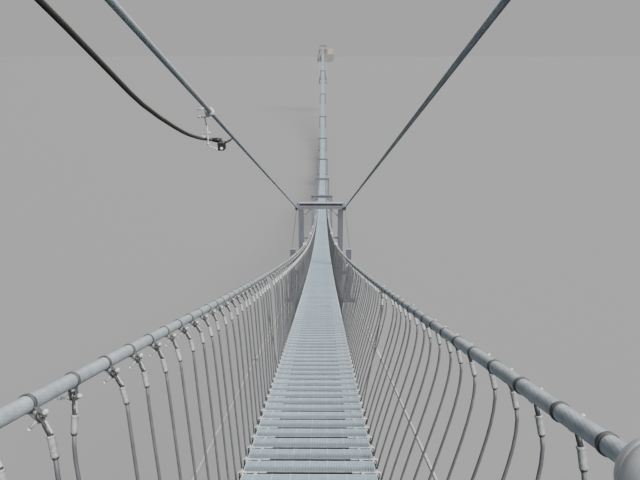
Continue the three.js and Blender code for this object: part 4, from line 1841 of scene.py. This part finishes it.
@dataclass
class Portals:
    """Plates, bolts, braces and stiffeners on the portal frames, which keep their CAD sections."""

    height: float = 2.6
    half: float = 0.94
    leg_width: float = 0.22
    beam_depth: float = 0.25
    sill: float = -0.06
    stiffeners: tuple[float, ...] = (0.55, 1.2, 1.85)
    webs: tuple[float, ...] = (-0.55, -0.28, 0.0, 0.28, 0.55)

    @property
    def under(self) -> float:
        """The underside of the crossbeam."""
        return self.height - self.beam_depth / 2

    def leg(self, sketch: Sketch, side: int) -> None:
        """Draws one leg's plates, bolts, stiffeners, brace and rail guide.

        Args:
            sketch: where it is drawn.
            side: -1 for the left leg, 1 for the right one.
        """
        under = self.under
        leg = side * (self.half - self.leg_width / 2 - 0.01)
        inner = side * (self.half - self.leg_width - 0.01)
        for z, bolt in ((under - 0.012, under - 0.038), (self.sill + 0.006, self.sill + 0.015)):
            sketch.using(0).bar(leg, 0.118, (-0.112, 0.112), (z - 0.009, z + 0.009), 0.002)
            sketch.using(1).bolts((leg, 0.0, bolt), (0.085, 0.085, 0.0), (0.0, 0.0, 0.017), 0.013)
        top, foot = np.array([side * 0.4, 0.0, under - 0.006]), np.array([inner, 0.0, under - 0.32])
        sketch.using(3).rod(top, foot, 0.019, 10)
        sketch.rod(top, top + (foot - top) * 0.12, 0.024, 8)
        sketch.rod(foot + (top - foot) * 0.12, foot, 0.024, 8).using(0)
        for z in self.stiffeners:
            sketch.ribs(leg, 0.094, (z - 0.006, z + 0.006), (0.012, 0.079))
        rail, level = BRIDGE.rail_half, BRIDGE.rail_height
        corner = (side * (rail + 0.028), -0.05, level - 0.055)
        sketch.using(2).box(corner, (side * (rail + 0.044), 0.05, level + 0.055), 0.003)

    def lug(self, sketch: Sketch, side: int) -> None:
        """Draws the plates and pin that hold an overhead stay.

        Args:
            sketch: where it is drawn.
            side: -1 for the left leg, 1 for the right one.
        """
        x, z = side * STAYS.lug_x, self.under + 0.06
        corner = [(0.0, 0.15), (0.0, -0.02), (side * 0.13, -0.12), (side * 0.15, -0.07), (side * 0.1, 0.1)]
        for y in (-0.104, 0.104):
            place = (side * (self.half - 0.06), y, self.under + 0.13)
            sketch.using(2).plate(corner[::side], place, X_AXIS, Z_AXIS, 0.012, 0.002)
        for y in (-0.062, 0.062):
            sketch.using(0).rod((x, y * 0.8, z), (x, y * 1.9, z), 0.05, 16)
        sketch.using(1).rod((x, -0.13, z), (x, 0.13, z), 0.02, 12)

    def fittings(self, stayed: bool) -> Geometry:
        """One portal's fittings about the deck's middle.

        Args:
            stayed: whether the overhead stays hold this portal.

        Returns:
            The fittings.
        """
        sketch = Sketch()
        under, top = self.under, self.under + self.beam_depth
        for side in (-1, 1):
            self.leg(sketch, side)
            if stayed:
                self.lug(sketch, side)
        sketch.using(0)
        for x in self.webs:
            sketch.ribs(x, 0.006, (under + 0.12, top - 0.022), (0.012, 0.07))
        sketch.ribs(0.0, self.half - 0.04, (under + 0.012, under + 0.13), (0.02, 0.108), 0.004)
        # The top plate takes finish 3; on the stayed portals that is the paler steel, a painted highlight on
        # the beam's lit top.
        sketch.using(3).bar(0.0, self.half + 0.004, (-0.112, 0.112), (top - 0.004, top + 0.01), 0.003)
        return sketch.geometry()

    def build(self, shop: Workshop) -> None:
        """Makes the fittings on all the portals.

        Args:
            shop: where the pieces are made.
        """
        last = BRIDGE.bays - 1
        stayed = [PALETTE.frame, PALETTE.bright, PALETTE.strap, PALETTE.pale_frame]
        plain = [PALETTE.frame, PALETTE.far_frame, PALETTE.strap, PALETTE.frame]
        for name, numbers, finishes in (
            ("portal_fittings_stayed", [1, last], stayed),
            ("portal_fittings", range(2, last), plain),
        ):
            frames = BRIDGE.upright_frames(np.array(numbers) * BRIDGE.bay, False, True)
            made = self.fittings(finishes is stayed).placed(frames)
            shop.publish(name, made, finishes)


@dataclass
class StayFrames:
    """Caps, base plates, stiffeners and thin side ties on the outboard frames."""

    post_x: float = 1.19
    post_top: float = 0.7
    drop: float = 1.64
    transom: float = 1.54
    stiffeners: tuple[float, ...] = (0.3, -0.35, -0.95)
    tie_top: tuple[float, float] = (1.0, 2.5)

    GUSSET: ClassVar[Profile] = ((-0.14, -0.1), (0.14, -0.1), (0.1, 0.12), (-0.1, 0.12))

    def fittings(self) -> Geometry:
        """One outboard frame's fittings about the deck's middle.

        Returns:
            The fittings.
        """
        sketch = Sketch()
        top, low = self.post_top, -self.drop
        for side in (-1, 1):
            x = side * self.post_x
            eye = x - side * 0.05
            sketch.using(1).bar(x, 0.125, (-0.115, 0.115), (top - 0.004, top + 0.014), 0.003)
            sketch.rod((eye, 0, top - 0.09), (eye, -0.12, top - 0.09), 0.022, 12).using(0)
            for z in self.stiffeners:
                sketch.ribs(x, 0.095, (z - 0.006, z + 0.006), (0.012, 0.08))
            for y in (-0.09, 0.09):
                sketch.plate(self.GUSSET, (x, y, low + 0.16), X_AXIS, Z_AXIS, 0.012, 0.002)
            sketch.using(1)
            for reach in (side * STAYS.outer_x, side * STAYS.inner_x):
                sketch.bar(reach, 0.05, (-0.1, -0.08), (low - 0.05, low + 0.05), 0.003)
                sketch.rod((reach, 0.08, low), (reach, 0.12, low), 0.03, 6)
            end = side * self.transom
            corner, opposite = (end, -0.085, low - 0.085), (end + side * 0.012, 0.085, low + 0.085)
            sketch.using(0).box(corner, opposite, 0.002)
        return sketch.geometry()

    def ties(self) -> Geometry:
        """The thin ropes from the portal's top corners to the ends of the transom.

        Returns:
            The ropes.
        """
        made = []
        for side in Side:
            top = np.array([side.value * self.tie_top[0], 0.0, self.tie_top[1]])
            foot = np.array([side.value * (self.transom - 0.02), 0.0, -self.drop + 0.08])
            made.append(rope(top + (foot - top) * np.linspace(0, 1, 10)[:, None], 0.008, 8))
        return Geometry.merged(made)

    def build(self, shop: Workshop) -> None:
        """Makes both frames' fittings.

        Args:
            shop: where the pieces are made.
        """
        frames = BRIDGE.upright_frames([end.along(BRIDGE.bay) for end in End], True, True)
        finishes = [PALETTE.frame, PALETTE.strap]
        shop.publish("stay_frame_fittings", self.fittings().placed(frames), finishes)
        shop.publish("side_ties", self.ties().placed(frames), [PALETTE.wire])


@dataclass
class EndFrames:
    """Base plates, bolts, stiffeners and stay anchors on the frames at both landings."""

    leg: float = 1.16
    height: float = 3.05
    back: float = 0.15
    stiffeners: tuple[float, ...] = (0.6, 1.25, 1.9, 2.5)
    webs: tuple[float, ...] = (-0.8, -0.4, 0.0, 0.4, 0.8)

    GUSSET: ClassVar[Profile] = ((-0.16, 0.0), (0.16, 0.0), (0.11, 0.14), (-0.11, 0.14))

    def fittings(self) -> Geometry:
        """One end frame's fittings about its middle, with the span along the second axis.

        Returns:
            The fittings.
        """
        sketch = Sketch()
        top, under = self.height, self.height - 0.125
        corners, shaft = (0.14, 0.12, 0.0), (0.0, 0.0, 0.02)
        for side in (-1, 1):
            x, inner = side * self.leg, side * (self.leg - 0.11)
            sketch.using(0).bar(x, 0.17, (-0.16, 0.16), (0.003, 0.025), 0.003)
            sketch.using(1).bolts((x, 0.0, 0.025), corners, shaft, 0.02)
            sketch.bolts((x, 0.0, 0.045), corners, shaft, 0.011, 10)
            sketch.using(0).bar(x, 0.118, (-0.112, 0.112), (under - 0.022, under - 0.003), 0.002)
            for z in self.stiffeners:
                sketch.ribs(x, 0.094, (z - 0.006, z + 0.006), (0.012, 0.079))
            for y in (-0.09, 0.09):
                sketch.plate(self.GUSSET, (x, y, 0.024), X_AXIS, Z_AXIS, 0.01, 0.0015)
            anchor = side * STAYS.top_x
            sketch.using(2).bar(anchor, 0.07, (0.108, 0.122), (top - 0.09, top + 0.09), 0.003)
            sketch.rod((inner, 0, under - 0.42), (inner - side * 0.42, 0, under - 0.008), 0.02, 10)
        sketch.using(0)
        for x in self.webs:
            sketch.ribs(x, 0.006, (under + 0.022, under + 0.228), (0.012, 0.1))
        return sketch.geometry()

    def build(self, shop: Workshop) -> None:
        """Makes both.

        Args:
            shop: where the pieces are made.
        """
        frames = BRIDGE.upright_frames([end.along(-self.back) for end in End], True, False)
        finishes = [PALETTE.frame, PALETTE.bright, PALETTE.strap]
        shop.publish("end_frame_fittings", self.fittings().placed(frames), finishes)


@dataclass
class Landings:
    """Threshold plates, wall copings, edge angles and anchor plates on the abutments."""

    inner: float = 0.55
    outer: float = 1.6
    height: float = 1.75
    front: float = 0.6
    length: float = 4.8
    wall_plates: tuple[float, ...] = (-1.9, -3.4, -4.9)

    def landing(self) -> Geometry:
        """One landing's steel and copings, with the span along the second axis from its edge.

        Returns:
            The landing's pieces.
        """
        front, back = -self.front, -(self.front + self.length)
        sketch = Sketch().using(1).bar(0.0, 0.52, (-0.3, -0.004), (0.0, 0.008), 0.002)
        for i, j in product(range(9), range(3)):
            x, y = (i - 4) * 0.12, -0.06 - j * 0.09
            sketch.rod((x, y, 0.007), (x, y, 0.012), 0.011, 8)
        for side in (-1, 1):
            corner = (side * (self.inner - 0.03), back - 0.03, self.height - 0.002)
            opposite = (side * (self.outer + 0.03), front + 0.03, self.height + 0.07)
            sketch.using(0).box(corner, opposite, 0.012, 2)
            sketch.box((side * (self.inner - 0.04), back, -0.002), (side * self.inner, front, 0.1), 0.006)
            wall, face = side * self.outer, side * self.outer + side * 0.02
            for y in self.wall_plates:
                sketch.using(2).box((wall, y - 0.14, 0.9), (face, y + 0.14, 1.18), 0.003)
                sketch.using(1).bolts((face, y, 1.04), (0.0, 0.09, 0.08), (side * 0.025, 0.0, 0.0), 0.022)
            x = side * STAYS.foot[0]
            sketch.using(2).bar(x, 0.13, (0.0, 0.022), (-1.34, -1.04), 0.003)
            sketch.using(1).bolts((x, 0.022, -1.19), (0.095, 0.0, 0.11), (0.0, 0.02, 0.0), 0.016)
        return sketch.geometry()

    def coping(self) -> Geometry:
        """The parapet wall's coping and plinth, at the real bridge's place."""
        start = BRIDGE.span + 0.2
        sketch = Sketch().box((1.86, start - 0.04, 2.3), (4.02, start + 1.64, 2.38), 0.015, 2)
        return sketch.box((1.88, start - 0.02, 0.003), (4.015, start + 1.62, 0.25), 0.012).geometry()

    def build(self, shop: Workshop) -> None:
        """Makes both landings and the coping.

        Args:
            shop: where the pieces are made.
        """
        frames = BRIDGE.upright_frames([end.along(0.0) for end in End], True, False)
        finishes = [PALETTE.concrete, PALETTE.bright, PALETTE.frame]
        shop.publish("landing_fittings", self.landing().placed(frames), finishes)
        shop.publish("parapet_coping", self.coping(), [PALETTE.render])


@dataclass
class Junction:
    """The cable junction on the left near stay: clamp, pins, turnbuckle, arm, box and stub."""

    station: float = 9.8

    CLAMP: ClassVar[Profile] = ((0.0, 0.0245), (0.0, 0.031), (0.063, 0.031), (0.063, 0.0245))
    HOOP: ClassVar[Profile] = (
        (0.0, 0.031), (0.0, 0.037), (0.004, 0.041), (0.012, 0.041), (0.016, 0.037), (0.016, 0.031),
    )
    HOOK: ClassVar[Profile] = (
        (-0.012, 0.045), (0.008, 0.045), (0.024, -0.037), (0.002, -0.068), (-0.02, -0.062), (0.004, -0.037),
    )
    TURNBUCKLE: ClassVar[Profile] = (
        (0.0, 0.0), (0.0, 0.007), (0.008, 0.0095), (0.04, 0.0095), (0.046, 0.012), (0.07, 0.012),
        (0.076, 0.0095), (0.128, 0.0095), (0.134, 0.0115), (0.143, 0.0115), (0.147, 0.0),
    )
    GLAND: ClassVar[Profile] = (
        (0.0, 0.0195), (0.0, 0.0205), (0.05, 0.026), (0.056, 0.029), (0.075, 0.029), (0.079, 0.0265),
        (0.11, 0.0265),
    )

    def place(self) -> Array:
        """Where the junction's clamp is on the stay."""
        top, lug = STAYS.overhead(Side.LEFT, End.NEAR)
        return top + (lug - top) * (self.station - top[1]) / (lug[1] - top[1])

    def draw_clamp(self, sketch: Sketch) -> None:
        """Draws the clamp round the stay, its hook and its pins.

        Args:
            sketch: where they are drawn.
        """
        x, y, z = self.place()
        yr = y - 0.035
        half = np.array([0, 0.03, -0.0094])
        low, high = self.place() - half, self.place() + half
        along = unit(high - low)
        sketch.turned(self.CLAMP, low, high, 28).using(1)
        for reach in (0.0, 0.047):
            sketch.turned(self.HOOP, low + along * reach, high + along, 28)
        sketch.using(0).plate(self.HOOK, (x - 0.052, yr + 0.012, z), X_AXIS, Z_AXIS, 0.016, 0.002)
        sketch.box((x - 0.055, yr + 0.004, z - 0.056), (x - 0.004, y + 0.012, z - 0.034), 0.004, 2).using(1)
        for start, end, radius in (
            ((-0.05, 0.036), (-0.126, 0.026), 0.009),
            ((-0.04, -0.041), (-0.092, -0.049), 0.0105),
            ((-0.092, -0.049), (-0.126, -0.057), 0.0105),
        ):
            tip = (x + end[0], yr, z + end[1])
            sketch.rod((x + start[0], yr, z + start[1]), tip, radius, 14).ball(tip, radius, 14, 10)
        sketch.rod((x - 0.056, yr, z + 0.035), (x - 0.07, yr, z + 0.033), 0.0145, 6)
        sketch.rod((x - 0.056, yr, z - 0.044), (x - 0.07, yr, z - 0.046), 0.0155, 6)

    def draw_hanger(self, sketch: Sketch) -> None:
        """Draws the turnbuckle below the clamp, and the arm that leads to the box.

        Args:
            sketch: where they are drawn.
        """
        x, y, z = self.place()
        yr, rod = y - 0.035, x - 0.036
        sketch.using(2).rod((x - 0.054, yr, z - 0.06), (x - 0.04, yr, z - 0.15), 0.006, 10)
        sketch.using(1).turned(self.TURNBUCKLE, (rod, yr, z - 0.145), (rod + 0.03, yr, z - 1), 14)
        sketch.rod((rod - 0.05, yr, z - 0.224), (rod + 0.03, yr, z - 0.22), 0.0078, 10)
        sketch.ball((rod - 0.05, yr, z - 0.224), 0.0085, 12, 8)
        sketch.ball((rod + 0.024, yr, z - 0.22), 0.0125, 14, 10)
        sketch.rod((rod + 0.002, yr, z - 0.285), (rod + 0.003, yr, z - 0.33), 0.007, 10)
        sketch.ball((rod + 0.003, yr, z - 0.338), 0.016, 18, 12)
        arm = [(rod + 0.001, z - 0.35), (rod + 0.006, z - 0.364), (rod + 0.036, z - 0.37),
               (x + 0.05, z - 0.392)]
        for (ax, az), (bx, bz) in zip(arm, arm[1:]):
            sketch.rod((ax, yr, az), (bx, yr, bz), 0.0062, 10).ball((bx, yr, bz), 0.0062, 10, 8)
        sketch.ball((x + 0.052, yr - 0.002, z - 0.394), 0.0135, 16, 12)
        sketch.ball((x + 0.108, yr - 0.012, z - 0.388), 0.0175, 16, 12)

    def draw_box(self, sketch: Sketch) -> None:
        """Draws the box, its lid, the cable's gland, the stub on the other side and the clip on the cable.

        Args:
            sketch: where they are drawn.
        """
        x, y, z = self.place()
        yr, left, right = y - 0.035, x + 0.066, x + 0.134
        sketch.using(3).box((left, yr - 0.004, z - 0.413), (right, y + 0.106, z - 0.325), 0.008, 3)
        sketch.box((left - 0.003, yr - 0.007, z - 0.347), (right + 0.003, y + 0.109, z - 0.337), 0.003)
        end = np.array(HangingCable.route[-1])
        run = unit(end - np.array(HangingCable.route[-2]))
        sketch.turned(self.GLAND, end - run * 0.058, end + run, 20)
        sketch.rod(end + run * 0.03, (left + 0.03, yr + 0.06, z - 0.365), 0.0265, 18)
        sketch.rod((right - 0.02, y + 0.03, z - 0.345), (x + 0.19, y + 0.06, z - 0.312), 0.012, 16)
        clip = np.array(HangingCable.route[8])
        sketch.using(1).box(clip + (-0.004, -0.02, 0.008), clip + (0.032, 0.015, 0.03), 0.003).using(3)
        sketch.rod((x + 0.186, y + 0.058, z - 0.314), (x + 0.212, y + 0.074, z - 0.296), 0.009, 14)

    def build(self, shop: Workshop) -> None:
        """Makes the junction.

        Args:
            shop: where the pieces are made.
        """
        sketch = Sketch()
        self.draw_clamp(sketch)
        self.draw_hanger(sketch)
        self.draw_box(sketch)
        finishes = [PALETTE.junction, PALETTE.bright, PALETTE.wire, PALETTE.plastic]
        shop.publish("stay_junction", sketch.geometry(), finishes, ["cable_junction"])


@dataclass
class HangingCable:
    """The dark cable that hangs from the near end frame to the junction's box."""

    radius: float = 0.0175
    route: tuple[tuple[float, float, float], ...] = (
        (-1.25, -0.037, 2.98),
        (-1.24, 2.1, 2.31),
        (-1.23, 4.4, 1.49),
        (-1.22, 6.255, 0.796),
        (-1.216, 6.98, 0.5),
        (-1.213, 7.715, 0.205),
        (-1.208, 8.91, -0.143),
        (-1.204, 9.35, -0.242),
        (-1.2, 9.73, -0.315),
        (-1.188, 9.79, -0.327),
        (-1.156, 9.836, -0.338),
        (-1.112, 9.868, -0.347),
        (-1.065, 9.88, -0.353),
    )

    def path(self, steps: int = 3) -> Array:
        """The curve through the route's points that the CAD source's cable follows.

        Args:
            steps: how many points each stretch between two route points becomes.

        Returns:
            Points on the cable's centreline.
        """
        points = np.array(self.route)
        points = np.concatenate([[2 * points[0] - points[1]], points, [2 * points[-1] - points[-2]]])
        made = []
        for p0, p1, p2, p3 in zip(points, points[1:], points[2:], points[3:]):
            d0, d1, d2 = (math.sqrt(np.linalg.norm(b - a)) for a, b in ((p0, p1), (p1, p2), (p2, p3)))
            m1 = ((p1 - p0) / d0 - (p2 - p0) / (d0 + d1) + (p2 - p1) / d1) * d1
            m2 = ((p2 - p1) / d1 - (p3 - p1) / (d1 + d2) + (p3 - p2) / d2) * d1
            for t in np.arange(steps) / steps:
                made.append(
                    p1 * (2 * t**3 - 3 * t**2 + 1)
                    + m1 * (t**3 - 2 * t**2 + t)
                    + p2 * (3 * t**2 - 2 * t**3)
                    + m2 * (t**3 - t**2)
                )
        return np.array(made + [points[-2]])

    def build(self, shop: Workshop) -> None:
        """Makes the cable and its gland.

        Args:
            shop: where the pieces are made.
        """
        path = self.path()
        made = rope(path, self.radius, 20)
        cable = shop.publish("cable", made, [PALETTE.sheath], ["hanging_cable"])
        profile = [(0.0, self.radius + 0.001), (0.0, 0.034), (0.022, 0.034), (0.026, 0.029), (0.05, 0.0275),
                   (0.16, self.radius + 0.0025), (0.165, self.radius + 0.0005)]
        start, along = path[0], unit(path[1] - path[0])
        gland = Sketch().turned(profile, start, path[1], 20)
        gland.rod(start + along * 0.004, start + along * 0.02, 0.038, 6)
        shop.publish("cable_gland", gland.geometry(), [PALETTE.plastic])
        placed = PLACEMENT.place(path)


class CadFinishes:
    """Materials and softened edges on the CAD nodes that stay in view."""

    def paint(self, node: str, finish: Finish, bevel: float) -> None:
        """Gives a node its finish, and rounds its edges.

        Args:
            node: the node's name.
            finish: its material.
            bevel: how much its edges are rounded, in metres of the model.
        """
        made = frame["nodes"][node]
        made.data.materials.clear()
        made.data.materials.append(finish.material())
        modifier = made.modifiers.new("soft_edges", "BEVEL")
        modifier.width = bevel
        modifier.segments = 2
        modifier.limit_method = "ANGLE"
        modifier.angle_limit = math.radians(40)
        modifier.harden_normals = False

    def build(self) -> None:
        """Paints every node that is left in view."""
        steel = ["near_end_frame", "far_end_frame", "near_stay_frame", "far_stay_frame"]
        steel += [f"portal_frame_{i}" for i in (1, BRIDGE.bays - 1)]
        for node in steel:
            self.paint(node, PALETTE.frame, 0.0004)
        # The distant portals take the paler copy of the frame steel: painted light.
        for i in range(2, BRIDGE.bays - 1):
            self.paint(f"portal_frame_{i}", PALETTE.far_frame, 0.0004)
        for node in ("near_abutment", "far_abutment"):
            self.paint(node, PALETTE.concrete, 0.002)
        self.paint("far_parapet_wall", PALETTE.render, 0.002)


@dataclass(frozen=True)
class Studio:
    """The floor, the light and the camera."""

    floor_level: float = -1.95
    floor_tone: float = 0.326
    backdrop: float = 0.44
    above: tuple[float, float, float] = (0.205, 0.213, 0.226)
    below: tuple[float, float, float] = (0.04, 0.041, 0.041)
    sun: float = 4.7
    sun_angle: float = 45.0
    sun_side: tuple[float, float, float] = (0.44, -0.52, 0.732)
    fill: float = 0.7
    fill_side: tuple[float, float, float] = (0.12, 0.9, 0.42)
    camera: tuple[float, float, float] = (0.009, 0.63, 0.3561)
    pitch: float = 17.35
    yaw: float = 0.29
    lens: float = 33.75

    def build_floor(self) -> None:
        """A plain pale floor below the bridge, which throws no light back up at it."""
        bpy.ops.mesh.primitive_plane_add(size=800.0, location=(0.0, 0.0, self.floor_level))
        floor = bpy.context.object
        floor.name = "floor"
        material = bpy.data.materials.new("floor")
        material.use_nodes = True
        shader = next(node for node in material.node_tree.nodes if node.type == "BSDF_PRINCIPLED")
        tone = (self.floor_tone, self.floor_tone, self.floor_tone * 0.98)
        looks = {"Base Color": rgba(tone), "Roughness": 0.95, "Specular IOR Level": 0.1}
        Nodes(material.node_tree).feed(shader, looks)
        floor.data.materials.append(material)
        floor.visible_diffuse = False
        floor.visible_glossy = False

    def build_light(self) -> None:
        """An even sky, dimmer light from below, a plain backdrop, and two broad soft lamps."""
        world = bpy.data.worlds.new("studio")
        world.use_nodes = True
        bpy.context.scene.world = world
        nodes = Nodes(world.node_tree)
        background = next(node for node in world.node_tree.nodes if node.type == "BACKGROUND")
        height = nodes.mapped(nodes.split(nodes.place("Generated"))[2], -0.25, 0.2)
        sky = nodes.blend(height, rgba(self.below), rgba(self.above))
        seen = nodes.add("ShaderNodeLightPath").outputs["Is Camera Ray"]
        sky = nodes.blend(seen, sky, rgba([self.backdrop] * 3))
        nodes.feed(background, {"Color": sky, "Strength": 1.0})
        for name, strength, side in (("key", self.sun, self.sun_side), ("fill", self.fill, self.fill_side)):
            light = bpy.data.lights.new(name, "SUN")
            light.energy = strength
            light.angle = math.radians(self.sun_angle)
            lamp = bpy.data.objects.new(name, light)
            lamp.rotation_euler = Vector(side).to_track_quat("Z", "Y").to_euler()
            bpy.context.scene.collection.objects.link(lamp)

    def build_camera(self) -> None:
        """The photograph's view: from the walker's eye, down along the bridge."""
        data = bpy.data.cameras.new("camera")
        data.lens = self.lens
        data.sensor_width = 36.0
        data.clip_start = 0.005
        data.clip_end = 500.0
        camera = bpy.data.objects.new("camera", data)
        camera.location = self.camera
        camera.rotation_euler = (math.radians(90 - self.pitch), 0.0, math.radians(self.yaw))
        bpy.context.scene.collection.objects.link(camera)
        bpy.context.scene.camera = camera

    def build(self) -> None:
        """Makes all of it."""
        self.build_floor()
        self.build_light()
        self.build_camera()


def main() -> None:
    """Makes the whole scene."""
    Studio().build()
    shop = Workshop(PLACEMENT)
    HangingCable().build(shop)
    for part in (
        HandrailRopes(),
        Hangers(),
        Treads(),
        DeckEdges(),
        Stays(),
        Portals(),
        StayFrames(),
        EndFrames(),
        Landings(),
        Junction(),
    ):
        part.build(shop)
    CadFinishes().build()
    log.info("pieces made with %d triangles", shop.triangles)


if __name__ == "__main__":
    main()
